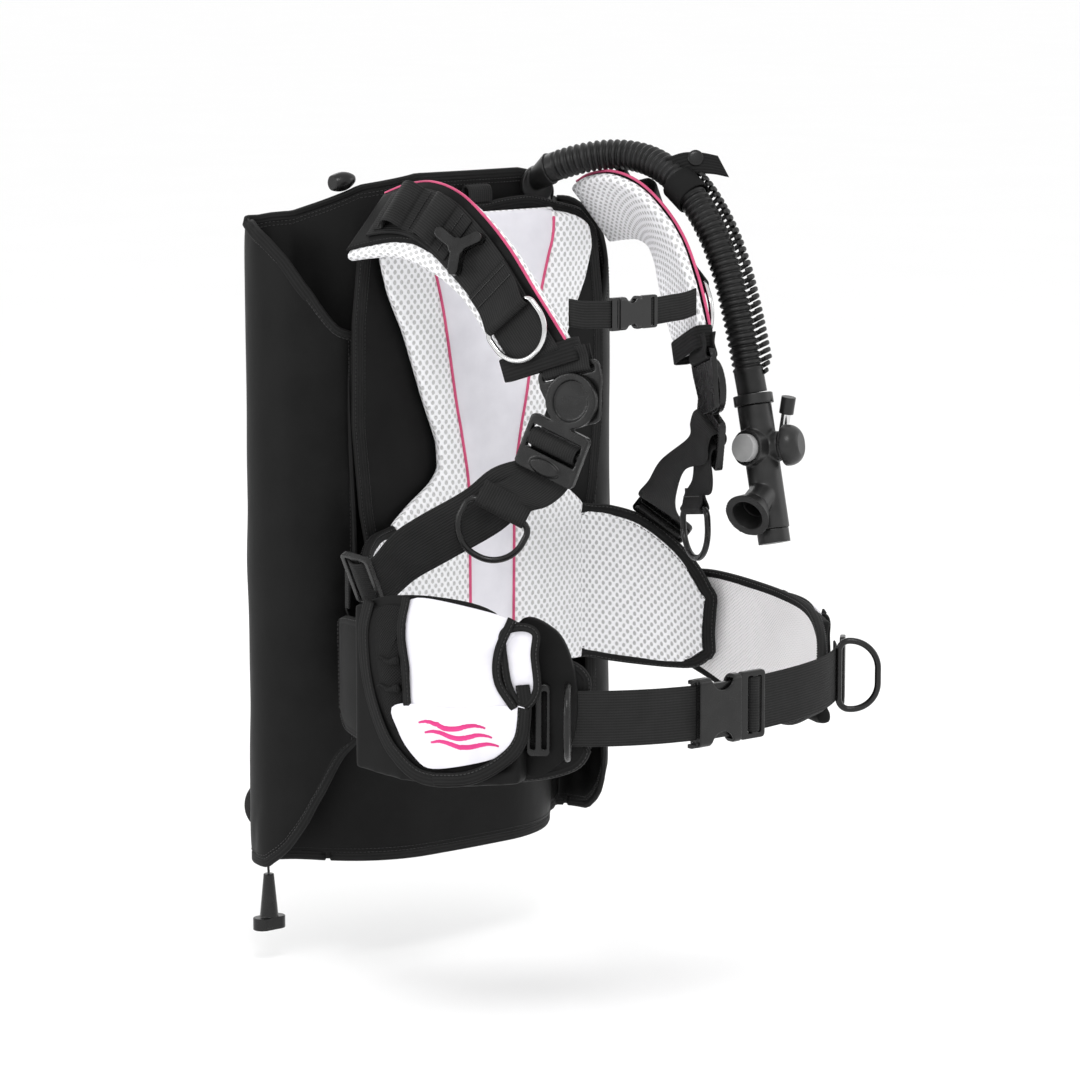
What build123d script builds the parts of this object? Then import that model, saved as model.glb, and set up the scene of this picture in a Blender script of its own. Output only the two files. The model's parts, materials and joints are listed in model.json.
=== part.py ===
from build123d import *
from math import cos, pi, radians, sin, tan
import os

# A buoyancy compensator vest: an air cell folded round a diving cylinder, a hard backplate
# with its padded harness, integrated weight pockets and the corrugated hose with its inflator.
# Frame: millimetres, +Z up, -Y the way the wearer faces, +X the wearer's left.
# The origin is the centre of the tank band's clamp, on the cylinder's axis.

os.makedirs("parts", exist_ok=True)

# Driving dimensions.
TANK_RADIUS = 92.1          # 184.2 mm aluminium cylinder
WEB_WIDE = 50.0             # tank, shoulder and waist webbing
WEB_NARROW = 25.0           # sternum webbing
WEB_THICK = 2.4
CELL_BOTTOM = -312.0        # lower hem of the air cell
CELL_SHOULDER = 300.0       # top of the air cell at its folds
CELL_TOP = 338.0            # top of the air cell at the neck
CELL_THICK = 9.0
FLAP_THICK = 8.0
PLATE_BACK = -106.0         # the backplate's rear face, on the air cell's front panel
PLATE_THICK = 7.0
BACKING_BACK = -117.5       # the pad's stitched backing, clear of the band's front run
BACKING_THICK = 5.5
PAD_THICK = 16.0
WING_THICK = 14.0
STRAP_THICK = 12.0
HOSE_DIAMETER = 29.0
BAND_SLOT_X = 78.0          # where the tank band goes through the backplate
RUN_GAP = 0.4               # clearance between pieces that move on each other
SIDES = {"right": -1, "left": 1}


def save(piece, name):
    """Label a finished piece and write it as a STEP file."""
    piece.part.label = name
    export_step(piece.part, f"parts/{name}.step")


def point(side, place):
    """Return a place given for the left side, mirrored when the side is the right one."""
    return Vector(side * place[0], place[1], place[2])


def middle(station):
    """Return the middle of a station's two edge points."""
    return (station[0] + station[1]) * 0.5


def slab(stations, thickness):
    """Loft a flat strap or pad through stations, each given by its two edge points."""
    with BuildPart() as piece:
        for index, (start, end) in enumerate(stations):
            across = end - start
            before = middle(stations[max(index - 1, 0)])
            after = middle(stations[min(index + 1, len(stations) - 1)])
            ahead = after - before
            unit = across.normalized()
            facing = (ahead - unit * ahead.dot(unit)).normalized()
            with BuildSketch(Plane(origin=middle((start, end)), x_dir=unit, z_dir=facing)):
                Rectangle(across.length, thickness)
        loft(ruled=True)
    return piece


def upright(side, plan):
    """Turn plan stations (x, y, low z, high z) into edge-point stations."""
    return [(point(side, (x, y, low)), point(side, (x, y, high))) for x, y, low, high in plan]


def banded(side, centres, directions, width):
    """Make stations of one width from centre points and the directions across them."""
    stations = []
    for centre, direction in zip(centres, directions):
        half = point(side, direction).normalized() * (width / 2)
        stations.append((point(side, centre) - half, point(side, centre) + half))
    return stations


def d_ring(plane, width, depth, wire):
    """Sweep a round wire into a D: the bar lies on the plane's x axis, the bow along +y."""
    half = width / 2
    corners = [(-half, 0), (half, 0), (half, depth), (-half, depth)]
    bow = min(half * 0.96, depth * 0.7)
    bends = [wire * 1.6, wire * 1.6, bow, bow]
    with BuildPart() as ring:
        with BuildLine(plane) as outline:
            FilletPolyline(*corners, radius=bends, close=True)
        with BuildSketch(Plane(origin=outline.line @ 0, z_dir=outline.line % 0)):
            Circle(wire / 2)
        sweep()
    return ring


def slotted_bar(plane, width, length, thickness, slots, corner):
    """Make a flat moulded slide: a rounded plate with slots across it, at local y places."""
    with BuildPart() as piece:
        with BuildSketch(plane.offset(-thickness / 2)):
            RectangleRounded(width, length, corner)
            for place, opening in slots:
                with Locations((0, place)):
                    RectangleRounded(WEB_WIDE + 2, opening, 1.2, mode=Mode.SUBTRACT)
        extrude(amount=thickness)
    return piece


# ---------------------------------------------------------------- air cell and tank fixing

CELL_PLAN = [(0, -101), (62, -101), (112, -80), (155, -34), (188, -8)]
CELL_PROFILE = [(62, CELL_TOP), (112, 329), (155, 304), (196, CELL_SHOULDER)]
FLAP_PLAN = [(188, -8), (201, -40), (191, -80), (164, -106), (142, -112)]

with BuildPart() as air_cell:
    # The outer layer of each lobe comes forward from the fold, its corners cut on a curve.
    with BuildSketch(Plane.XY.offset(CELL_BOTTOM)):
        for side in SIDES.values():
            with BuildLine():
                FilletPolyline(*[(side * x, y) for x, y in FLAP_PLAN], radius=14)
            trace(line_width=FLAP_THICK)
    extrude(amount=CELL_SHOULDER - CELL_BOTTOM)
    with BuildSketch(Plane.YZ.offset(-230)):
        with BuildLine():
            top_corner = Spline((-20, CELL_SHOULDER), (-72, 268), (-106, 205), (-120, 182))
            Polyline(top_corner @ 1, (-120, CELL_SHOULDER + 1), (-20, CELL_SHOULDER + 1),
                     top_corner @ 0)
        make_face()
        with BuildLine():
            low_corner = Spline((-44, CELL_BOTTOM), (-80, -276), (-104, -215), (-120, -160))
            Polyline(low_corner @ 1, (-120, CELL_BOTTOM - 1), (-44, CELL_BOTTOM - 1),
                     low_corner @ 0)
        make_face()
    extrude(amount=460, mode=Mode.SUBTRACT)
    # The inner layer runs from fold to fold behind the backplate.
    with BuildSketch(Plane.XY.offset(CELL_BOTTOM)):
        with BuildLine():
            FilletPolyline(*[(-x, y) for x, y in reversed(CELL_PLAN[1:])], *CELL_PLAN[1:],
                           radius=20)
        trace(line_width=CELL_THICK)
    extrude(amount=CELL_TOP - CELL_BOTTOM)
    with BuildSketch(Plane.XZ.offset(-20)):
        for side in SIDES.values():
            with BuildLine():
                Polyline(*[(side * x, z) for x, z in CELL_PROFILE], (side * 230, CELL_SHOULDER),
                         (side * 230, CELL_TOP + 9), (side * 62, CELL_TOP + 9), close=True)
            make_face()
    extrude(amount=130, mode=Mode.SUBTRACT)
    # Slots for the tank band.
    with Locations((-BAND_SLOT_X, -98, 0), (BAND_SLOT_X, -98, 0)):
        Box(11, 30, WEB_WIDE + 8, mode=Mode.SUBTRACT)
save(air_cell, "air_cell")

with BuildPart() as backplate:
    with BuildSketch(Plane.XZ.offset(-PLATE_BACK)):
        with BuildLine():
            FilletPolyline((-112, -128), (112, -128), (104, 60), (84, 150), (96, 262), (60, 286),
                           (-60, 286), (-96, 262), (-84, 150), (-104, 60), radius=16, close=True)
        make_face()
        with Locations((-BAND_SLOT_X, 0), (BAND_SLOT_X, 0)):
            SlotOverall(WEB_WIDE + 6, 6, rotation=90, mode=Mode.SUBTRACT)
        with Locations((0, 262)):
            SlotOverall(100, 16, mode=Mode.SUBTRACT)
    extrude(amount=PLATE_THICK)
save(backplate, "backplate")

with BuildPart() as tank_pad:
    with BuildSketch(Plane.XZ.offset(TANK_RADIUS + 0.3)):
        RectangleRounded(86, 250, 12)
    extrude(amount=96.2 - TANK_RADIUS)
save(tank_pad, "tank_pad")

# The band leaves the cylinder on tangents to the two slots and crosses in front of the plate.
BAND_MID = TANK_RADIUS + WEB_THICK / 2
SLOT_Y = PLATE_BACK - PLATE_THICK - WEB_THICK / 2 - 0.2
BAND_START, BAND_SWEEP = -9.0, 198.0
with BuildPart() as tank_band:
    with BuildSketch(Plane.XY.offset(-WEB_WIDE / 2)):
        with BuildLine():
            inner = CenterArc((0, 0), TANK_RADIUS, BAND_START, BAND_SWEEP)
            outer = CenterArc((0, 0), TANK_RADIUS + WEB_THICK, BAND_START, BAND_SWEEP)
            Line(inner @ 0, outer @ 0)
            Line(inner @ 1, outer @ 1)
        make_face()
        with BuildLine():
            wrap = CenterArc((0, 0), BAND_MID, BAND_START, BAND_SWEEP, mode=Mode.PRIVATE)
            Polyline(wrap @ 0, (BAND_SLOT_X, SLOT_Y), (-BAND_SLOT_X, SLOT_Y), wrap @ 1)
        trace(line_width=WEB_THICK)
    extrude(amount=WEB_WIDE)
save(tank_band, "tank_band")

# The cam buckle sits on the band behind the wearer's right hand.
BUCKLE_TURN = 118.0
LEVER_LENGTH = 62.0
OUT = Vector(cos(radians(BUCKLE_TURN)), sin(radians(BUCKLE_TURN)), 0)
ROUND = Vector(-OUT.Y, OUT.X, 0)
BUCKLE_BASE = OUT * (TANK_RADIUS + WEB_THICK + 1.2)
cam_plane = Plane(origin=BUCKLE_BASE, x_dir=ROUND, z_dir=OUT)
with BuildPart() as cam_buckle:
    with BuildSketch(cam_plane.offset(2)):
        RectangleRounded(60, 62, 5)
        with Locations((-20, 0), (-4, 0)):
            Rectangle(7, WEB_WIDE + 2, mode=Mode.SUBTRACT)
    extrude(amount=4)
    with BuildSketch(cam_plane.offset(6)):
        with Locations((19, 28.7), (19, -28.7)):
            Rectangle(20, 4)
    extrude(amount=12)
save(cam_buckle, "cam_buckle")

CAM_PIN = BUCKLE_BASE + OUT * 12 + ROUND * 20
with BuildPart() as cam_lever:
    with BuildSketch(cam_plane.offset(8.2)):
        with Locations((-9, 0)):
            RectangleRounded(LEVER_LENGTH, 52, 6)
        with Locations((-4, 0)):
            RectangleRounded(20, 30, 4, mode=Mode.SUBTRACT)
    extrude(amount=5)
    with BuildSketch(Plane(origin=CAM_PIN, x_dir=ROUND, z_dir=(0, 0, 1)).offset(-26)):
        Circle(5.4)
    extrude(amount=52)
save(cam_lever, "cam_lever")

with BuildPart() as carry_handle:
    with BuildSketch(Plane.YZ.offset(-14)):
        with BuildLine():
            FilletPolyline((PLATE_BACK - 3.5, 300), (PLATE_BACK - 3.5, 324), (-121, 324),
                           (-121, 312), radius=5)
        trace(line_width=3)
    extrude(amount=28)
    with BuildSketch(Plane.XZ.offset(-PLATE_BACK + 2)):
        with Locations((0, 296.5)):
            Rectangle(96, 12)
    extrude(amount=3)
save(carry_handle, "carry_handle")

# ---------------------------------------------------------------- back pad and lumbar wings

BACKING_HALF = [(56, 309), (120, 299), (143, 276), (151, 205), (152, 110), (144, 30), (133, -24),
                (133, -46), (118, -50)]
with BuildPart() as pad_backing:
    with BuildSketch(Plane.XZ.offset(-BACKING_BACK)):
        with BuildLine():
            Polyline(*BACKING_HALF, (118, -138), (-118, -138),
                     *[(-x, z) for x, z in reversed(BACKING_HALF)], close=True)
        make_face()
    extrude(amount=BACKING_THICK)
save(pad_backing, "pad_backing")

PAD_HALF = [(57, 303), (105, 296), (124, 284), (128, 264), (119, 232), (101, 194), (79, 132),
            (62, 90), (57, 64), (61, 42), (78, 20), (100, 8), (118, 5)]
PAD_BACK = -BACKING_BACK + BACKING_THICK + 0.3
with BuildPart() as back_pad:
    with BuildSketch(Plane.XZ.offset(PAD_BACK)):
        with BuildLine():
            Polyline(*PAD_HALF, (118, -136), (-118, -136),
                     *[(-x, z) for x, z in reversed(PAD_HALF)], close=True)
        make_face()
    extrude(amount=PAD_THICK)
save(back_pad, "back_pad")

WING_PLAN = [(123, -132.5, -135, 13), (145, -143, -140, 10), (168, -161, -144, 0),
             (188, -185, -146, -23), (200, -205, -144, -48), (208, -221, -130, -78)]
for name, side in SIDES.items():
    lumbar_wing = slab(upright(side, WING_PLAN), WING_THICK)
    save(lumbar_wing, f"lumbar_wing_{name}")

# ---------------------------------------------------------------- hip pads and weight pockets

HIP_PATH = [(204, -172), (217, -196), (224, -220), (228, -260), (222, -310), (203, -362),
            (176, -404), (151, -432), (141, -441)]
# The left side's empty pocket lets its pad sag lower at the front.
HIP_HEIGHTS = {"right": [(-140, -56), (-152, -50), (-156, -48), (-162, -46), (-168, -48),
                         (-174, -54), (-172, -60), (-162, -66), (-144, -82)],
               "left": [(-140, -56), (-154, -53), (-166, -54), (-184, -58), (-188, -62),
                        (-170, -67), (-154, -80), (-138, -98), (-130, -108)]}
POCKET_PATHS = {"right": [(250, -262, -172, -24), (243, -315, -176, -18), (223, -371, -176, -20),
                          (194, -417, -170, -30)],
                "left": [(243, -236, -172, -66), (244, -271, -176, -68), (238, -314, -180, -72),
                         (229, -342, -181, -77), (219, -367, -180, -82)]}
POCKET_THICK = {"right": 26.0, "left": 14.0}
POUCH_THICK = {"right": 9.0, "left": 5.0}
POUCH_CENTRE = {"right": (239, -322, -97), "left": (234, -302, -126)}
POUCH_SIZE = {"right": (84, 120), "left": (80, 80)}     # along the hip, and tall
POUCH_HEADING = {"right": 16.0, "left": 7.0}            # degrees inward of straight ahead
POUCH_TRAVEL = 50.0
POUCH_GAP = 1.0

for name, side in SIDES.items():
    hip_plan = [(x, y, low, high) for (x, y), (low, high) in zip(HIP_PATH, HIP_HEIGHTS[name])]
    hip_pad = slab(upright(side, hip_plan), WING_THICK)
    save(hip_pad, f"hip_pad_{name}")

    pouch_long, pouch_tall = POUCH_SIZE[name]
    pouch_thick = POUCH_THICK[name]
    turned = Rotation(0, 0, -side * POUCH_HEADING[name])
    seat = Pos(*point(side, POUCH_CENTRE[name])) * turned
    pocket = slab(upright(side, POCKET_PATHS[name]), POCKET_THICK[name])
    with BuildPart() as weight_pocket:
        add(pocket.part)
        with Locations(seat * Pos(0, -60, 0)):
            Box(pouch_thick + 2 * POUCH_GAP, pouch_long + 120 + 2 * POUCH_GAP,
                pouch_tall + 2 * POUCH_GAP, mode=Mode.SUBTRACT)
    save(weight_pocket, f"weight_pocket_{name}")

    with BuildPart() as weight_pouch:
        with Locations(seat):
            Box(pouch_thick, pouch_long, pouch_tall)
    save(weight_pouch, f"weight_pouch_{name}")

# ---------------------------------------------------------------- shoulder straps

# Each station is the strap's medial edge and its lateral edge.
STRAP_EDGES = [((110, -125, 321), (160, -125, 266)), ((105, -150, 330), (156, -152, 270)),
               ((102, -185, 335), (149, -181, 272)), ((101, -222, 328), (142, -206, 266)),
               ((100, -258, 309), (130, -228, 252)), ((97, -290, 283), (118, -246, 233)),
               ((91, -317, 249), (109, -266, 202)), ((83, -338, 218), (106, -279, 184)),
               ((75, -355, 190), (104, -290, 171))]


def place(side, edges):
    """Return a strap station as two edge points on one side of the body."""
    return point(side, edges[0]), point(side, edges[1])


END_MEDIAL, END_LATERAL = (Vector(*edge) for edge in STRAP_EDGES[-1])
ACROSS = (END_LATERAL - END_MEDIAL).normalized()
ALONG = (middle((END_MEDIAL, END_LATERAL)) - middle([Vector(*e) for e in STRAP_EDGES[-3]]))
FACE = ALONG.cross(ACROSS).normalized()
DOWN = ACROSS.cross(FACE).normalized()
SWIVEL_DROP = 36.0          # from the strap's end to the swivel's axis
SWIVEL_INWARD = 22.0        # the swivel hangs from the strap's medial half
SWIVEL = middle((END_MEDIAL, END_LATERAL)) + DOWN * SWIVEL_DROP - ACROSS * SWIVEL_INWARD + FACE * 4
ARM_TURN = 36.0             # how far the hanging buckle leans outward at rest
ARM_DOWN = DOWN * cos(radians(ARM_TURN)) + ACROSS * sin(radians(ARM_TURN))
ARM_ACROSS = ACROSS * cos(radians(ARM_TURN)) - DOWN * sin(radians(ARM_TURN))

for name, side in SIDES.items():
    shoulder_strap = slab([place(side, edges) for edges in STRAP_EDGES], STRAP_THICK)
    save(shoulder_strap, f"shoulder_strap_{name}")

    face = point(side, tuple(FACE))
    across = point(side, tuple(ACROSS))
    down = point(side, tuple(DOWN))
    hub = point(side, tuple(SWIVEL))
    plate_plane = Plane(origin=hub - face * 6, x_dir=across, z_dir=face)
    up_sign = 1 if plate_plane.y_dir.dot(down) < 0 else -1
    with BuildPart() as shoulder_plate:
        with BuildSketch(plate_plane):
            with BuildLine():
                FilletPolyline((-31, up_sign * 33), (31, up_sign * 33), (31, up_sign * 16),
                               (20, -up_sign * 24), (-20, -up_sign * 24), (-31, up_sign * 16),
                               radius=8, close=True)
            make_face()
            with Locations((0, up_sign * 25)):
                RectangleRounded(WEB_WIDE + 2, 6, 1.5, mode=Mode.SUBTRACT)
        extrude(amount=5)
        with BuildSketch(plate_plane):
            Circle(8)
        extrude(amount=5 + RUN_GAP)
    save(shoulder_plate, f"shoulder_plate_{name}")

    arm_plane = Plane(origin=hub - face * (1 - 2 * RUN_GAP), x_dir=point(side, tuple(ARM_ACROSS)),
                      z_dir=face)
    with BuildPart() as shoulder_buckle:
        with BuildSketch(arm_plane):
            Circle(25)
            with Locations((0, -up_sign * 49)):
                RectangleRounded(62, 50, 5)
            for distance in (37.5, 50.5):
                with Locations((0, -up_sign * distance)):
                    RectangleRounded(WEB_WIDE + 2, 9, 1.5, mode=Mode.SUBTRACT)
        extrude(amount=7)
        with BuildSketch(arm_plane.offset(7)):
            Ellipse(17, 19)
        extrude(amount=-2.5, mode=Mode.SUBTRACT)
        with BuildSketch(arm_plane.offset(7)):
            with Locations((0, -up_sign * 65.5)):
                Ellipse(16, 7.5)
        extrude(amount=2.4, taper=30)
    save(shoulder_buckle, f"shoulder_buckle_{name}")

# ---------------------------------------------------------------- webbing on the shoulder straps


def on_strap(side, index, near, far, lift):
    """Return two points across a strap's outer face, measured from its medial edge."""
    medial, lateral = place(side, STRAP_EDGES[index])
    before = middle(place(side, STRAP_EDGES[max(index - 1, 0)]))
    after = middle(place(side, STRAP_EDGES[min(index + 1, len(STRAP_EDGES) - 1)]))
    unit = (lateral - medial).normalized()
    outward = (after - before).cross(unit).normalized() * side
    return medial + unit * near + outward * lift, medial + unit * far + outward * lift


WEB_LIFT = STRAP_THICK / 2 + WEB_THICK / 2 + 0.4
with BuildPart() as strap_webs:
    for side in SIDES.values():
        run = [on_strap(side, index, 10, 60, WEB_LIFT) for index in range(1, len(STRAP_EDGES))]
        add(slab(run, WEB_THICK).part)
save(strap_webs, "strap_webs")

CHEST_RING_WIRE = 5.0
for name, side in SIDES.items():
    near, far = on_strap(side, 6, 7, 63, WEB_LIFT + 6.5)
    towards = middle(on_strap(side, 8, 7, 63, WEB_LIFT + 6.5)) - middle((near, far))
    bar = (far - near).normalized()
    swing = bar.cross(towards).normalized()
    ring_plane = Plane(origin=middle((near, far)), x_dir=bar, z_dir=swing)
    chest_ring = d_ring(ring_plane, 58, 44, CHEST_RING_WIRE)
    save(chest_ring, f"chest_ring_{name}")

# The pull knob of the right shoulder's dump valve lies on the strap's webbing.
KNOB_LIFT = WEB_LIFT + 10.4
knob_low, knob_high = on_strap(-1, 4, 20, 52, KNOB_LIFT)
KNOB = middle((knob_low, knob_high))
KNOB_DOWN = (middle(on_strap(-1, 5, 20, 52, KNOB_LIFT)) - KNOB).normalized()
knob_plane = Plane(origin=KNOB, x_dir=(knob_high - knob_low).normalized(),
                   z_dir=KNOB_DOWN.cross((knob_high - knob_low)).normalized())
with BuildPart() as shoulder_pull_knob:
    with BuildSketch(knob_plane.offset(-6.5)):
        Circle(8)
        for turn in (90, 210, 330):
            with Locations(Location((0, 0), turn)):
                with Locations((13, 0)):
                    SlotOverall(26, 10)
    extrude(amount=12)
save(shoulder_pull_knob, "shoulder_pull_knob")

# ---------------------------------------------------------------- adjustable webbing to the hips

RING_HANG = 4.4             # from the end of the webbing's tail to the ring's bar
WEB_EXIT = tuple(SWIVEL + ARM_DOWN * 65 - FACE * 9)      # behind the hanging buckle
TAIL_EXIT = tuple(SWIVEL + ARM_DOWN * 77 + FACE * 2)     # below the buckle's lip
MAIN_RUNS = {"right": [WEB_EXIT, (116, -304, 70), (132, -282, 48), (162, -249, 20),
                       (196, -222, -8)],
             "left": [WEB_EXIT, (109, -272, 68), (129, -235, 42), (151, -203, 19),
                      (171, -185, 3)]}
MAIN_ACROSS = {"right": [tuple(ARM_ACROSS), (0.45, 0.52, 0.72), (0.42, 0.50, 0.76),
                         (0.45, 0.15, 0.88), (0.52, -0.15, 0.84)],
               "left": [(0.42, 0.91, 0.04), (0.25, 0.97, 0.07), (0.155, 0.978, 0.119),
                        (-0.1, 0.95, 0.25), (-0.45, 0.70, 0.55)]}
RING_ORIGINS = {"right": (126, -306, 55), "left": (111, -300, 34)}
RING_BARS = {"right": (-0.63, -0.62, -0.46), "left": (-0.344, -0.922, 0.147)}
TAIL_MIDDLES = {"right": (112, -320, 67), "left": (106, -316, 54)}
for name, side in SIDES.items():
    main_run = slab(banded(side, MAIN_RUNS[name], MAIN_ACROSS[name], WEB_WIDE), WEB_THICK)
    bar_across = tuple(Vector(*RING_BARS[name]) * -1)
    tail_middles = [TAIL_EXIT, TAIL_MIDDLES[name], RING_ORIGINS[name]]
    tail_across = [tuple(ARM_ACROSS), tuple(ARM_ACROSS + Vector(*bar_across)), bar_across]
    tail_run = slab(banded(side, tail_middles, tail_across, WEB_WIDE - 4), WEB_THICK)
    with BuildPart() as shoulder_webbing:
        add(main_run.part)
        add(tail_run.part)
    save(shoulder_webbing, f"shoulder_webbing_{name}")

    ring_bar = point(side, RING_BARS[name]).normalized()
    ring_drop = (Vector(0, 0, -1) + ring_bar * ring_bar.Z).normalized()
    ring_origin = point(side, RING_ORIGINS[name]) + ring_drop * RING_HANG
    pull_ring = d_ring(Plane(origin=ring_origin, x_dir=ring_bar,
                             z_dir=ring_bar.cross(ring_drop)), 62, 46, 6)
    save(pull_ring, f"pull_ring_{name}")

SLIDES = {"right": ((214, -216, -14), (0.5, -0.2, 0.84), (0.8, -0.1, -0.5)),
          "left": ((193, -163, -3), (-0.553, 0.586, 0.593), (0.677, 0.118, 0.514))}
with BuildPart() as strap_slides:
    for name, (slide_spot, slide_bar, slide_face) in SLIDES.items():
        side = SIDES[name]
        slide_plane = Plane(origin=point(side, slide_spot), x_dir=point(side, slide_bar),
                            z_dir=point(side, slide_face))
        add(slotted_bar(slide_plane, 60, 34, 6, [(-8, 7), (8, 7)], 6).part)
save(strap_slides, "strap_slides")

SIDE_RUNS = {"right": [(205, -183, -46, 4), (199, -170, -48, 2), (176, -146, -64, -14),
                       (156, -129, -74, -24)],
             "left": [(202, -149, -74, -24), (188, -141, -75, -25), (172, -134, -76, -26),
                      (156, -128, -76, -26)]}
with BuildPart() as side_straps:
    for name, run in SIDE_RUNS.items():
        add(slab(upright(SIDES[name], run), WEB_THICK).part)
save(side_straps, "side_straps")

# ---------------------------------------------------------------- sternum strap

STERNUM_Y = -340.0
STERNUM_Z = 224.0
sternum_plane = Plane(origin=(0, STERNUM_Y, STERNUM_Z), x_dir=(1, 0, 0), z_dir=(0, -1, 0))
STERNUM_TRAVEL = 26.0
with BuildPart() as sternum_buckle_female:
    with BuildSketch(Plane.YZ.offset(-20)):
        with Locations((STERNUM_Y, STERNUM_Z)):
            RectangleRounded(10, 30, 3)
    extrude(amount=26)
    with Locations((-3, STERNUM_Y, STERNUM_Z)):
        Box(30, 6, 25, mode=Mode.SUBTRACT)
    with Locations((-5, STERNUM_Y, STERNUM_Z + 17), (-5, STERNUM_Y, STERNUM_Z - 17)):
        Cylinder(7.5, 12, rotation=(90, 0, 0), mode=Mode.SUBTRACT)
    with Locations((-24, STERNUM_Y, STERNUM_Z)):
        Box(8, 5, 30)
save(sternum_buckle_female, "sternum_buckle_female")

with BuildPart() as sternum_buckle_male:
    with BuildSketch(sternum_plane.offset(-2)):
        with Locations((17, 0)):
            RectangleRounded(20, 30, 3)
        with Locations((21, 0)):
            Rectangle(4, 26, mode=Mode.SUBTRACT)
        with Locations((-3, 9), (-3, -9)):
            Rectangle(22, 4)
        with Locations((-4, 0)):
            Rectangle(22, 5)
    extrude(amount=4)
save(sternum_buckle_male, "sternum_buckle_male")

sternum_runs = {"right": [(-76, -339, 229), (-60, -340, 226), (-29, STERNUM_Y, 224)],
                "left": [(29, STERNUM_Y, 224), (60, -340, 226), (76, -339, 229)]}
for name, run in sternum_runs.items():
    sternum_web = slab(upright(1, [(x, y, z - WEB_NARROW / 2, z + WEB_NARROW / 2)
                                   for x, y, z in run]), 1.8)
    save(sternum_web, f"sternum_web_{name}")

# ---------------------------------------------------------------- waist belt

BELT_RUN = [(174, -424, -114), (157, -441, -114), (126, -459, -115), (86, -468, -117),
            (47, -470, -119)]
BELT_Y = -470.0
BELT_Z = -120.0
WAIST_TRAVEL = 34.0
WAIST_RING = (163.5, -441.5, -114)
for name, side in SIDES.items():
    waist_web = slab(upright(side, [(x, y, z - WEB_WIDE / 2, z + WEB_WIDE / 2)
                                    for x, y, z in BELT_RUN]), WEB_THICK)
    save(waist_web, f"waist_web_{name}")

    ring_out = point(side, (0.68, -0.73, 0)).normalized()
    waist_ring = d_ring(Plane(origin=point(side, WAIST_RING), x_dir=(0, 0, 1),
                              z_dir=Vector(0, 0, 1).cross(ring_out)), 64, 36, 6)
    save(waist_ring, f"waist_ring_{name}")

with BuildPart() as waist_slides:
    for side in SIDES.values():
        facing = point(side, (0.69, -0.72, 0)).normalized()
        slide_plane = Plane(origin=point(side, (184, -425, -114)), x_dir=(0, 0, 1), z_dir=facing)
        add(slotted_bar(slide_plane, 64, 20, 5, [(-5, 4), (5, 4)], 4).part)
save(waist_slides, "waist_slides")

waist_plane = Plane(origin=(0, BELT_Y, BELT_Z), x_dir=(1, 0, 0), z_dir=(0, -1, 0))
with BuildPart() as waist_buckle_female:
    with BuildSketch(Plane.YZ.offset(-40)):
        with Locations((BELT_Y, BELT_Z)):
            RectangleRounded(14, 62, 5)
    extrude(amount=50)
    with Locations((-11, BELT_Y, BELT_Z)):
        Box(50, 9, 55, mode=Mode.SUBTRACT)
    with Locations((-12, BELT_Y, BELT_Z + 33), (-12, BELT_Y, BELT_Z - 33)):
        Cylinder(14, 16, rotation=(90, 0, 0), mode=Mode.SUBTRACT)
    with Locations((-38, BELT_Y, BELT_Z)):
        Box(5, 6, 62)
    with Locations((-43, BELT_Y, BELT_Z + 29), (-43, BELT_Y, BELT_Z - 29)):
        Box(8, 6, 4)
save(waist_buckle_female, "waist_buckle_female")

with BuildPart() as waist_buckle_male:
    with BuildSketch(waist_plane.offset(-3)):
        with Locations((27, 0)):
            RectangleRounded(30, 62, 4)
        with Locations((24, 0), (35, 0)):
            Rectangle(5, WEB_WIDE + 2, mode=Mode.SUBTRACT)
        with Locations((-6, 21), (-6, -21)):
            Rectangle(38, 8)
        with Locations((-8, 0)):
            Rectangle(40, 8)
    extrude(amount=6)
save(waist_buckle_male, "waist_buckle_male")

# ---------------------------------------------------------------- hose and inflator

HOSE_ROUTE = [(82, -126, 339), (92, -149, 348), (113, -175, 354), (128, -205, 352),
              (132, -238, 341), (134, -269, 319), (135, -295, 289), (136, -314, 255),
              (137, -327, 218), (139, -337, 180), (141, -346, 140)]


def corner_radii(route):
    """Return the arc of each corner: 0.45 of its shorter run over the tangent of half the turn."""
    radii = []
    for before, corner, after in zip(route, route[1:], route[2:]):
        first = Vector(*corner) - Vector(*before)
        second = Vector(*after) - Vector(*corner)
        turn = radians(first.get_angle(second))
        radii.append(0.45 * min(first.length, second.length) / tan(turn / 2))
    return radii


def tube(route, diameter, label):
    """Sweep a plain round tube along straight runs joined by tangent arcs."""
    radii = corner_radii(route)
    print(label, "radii", [round(radius, 1) for radius in radii])
    with BuildPart() as piece:
        with BuildLine() as path:
            FilletPolyline(*route, radius=radii)
        with BuildSketch(Plane(origin=path.line @ 0, z_dir=path.line % 0)):
            Circle(diameter / 2)
        sweep()
    length = sum(edge.length for edge in path.edges())
    ratio = piece.part.volume / (length * pi * diameter ** 2 / 4)
    print(label, "length", round(length, 1), "volume ratio", round(ratio, 4))
    return piece


save(tube(HOSE_ROUTE, HOSE_DIAMETER, "hose"), "corrugated_hose")

with BuildPart() as hose_elbow:
    with BuildSketch(Plane.XZ.offset(105.8)):
        with Locations((80, 322)):
            Circle(19)
    extrude(amount=4)
    start = Vector(*HOSE_ROUTE[0])
    heading = (Vector(*HOSE_ROUTE[1]) - start).normalized()
    with BuildSketch(Plane(origin=start, z_dir=heading)):
        Circle(15.5)
    with BuildSketch(Plane.XZ.offset(109)):
        with Locations((80, 329)):
            Circle(12)
    loft()
save(hose_elbow, "hose_elbow")

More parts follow.
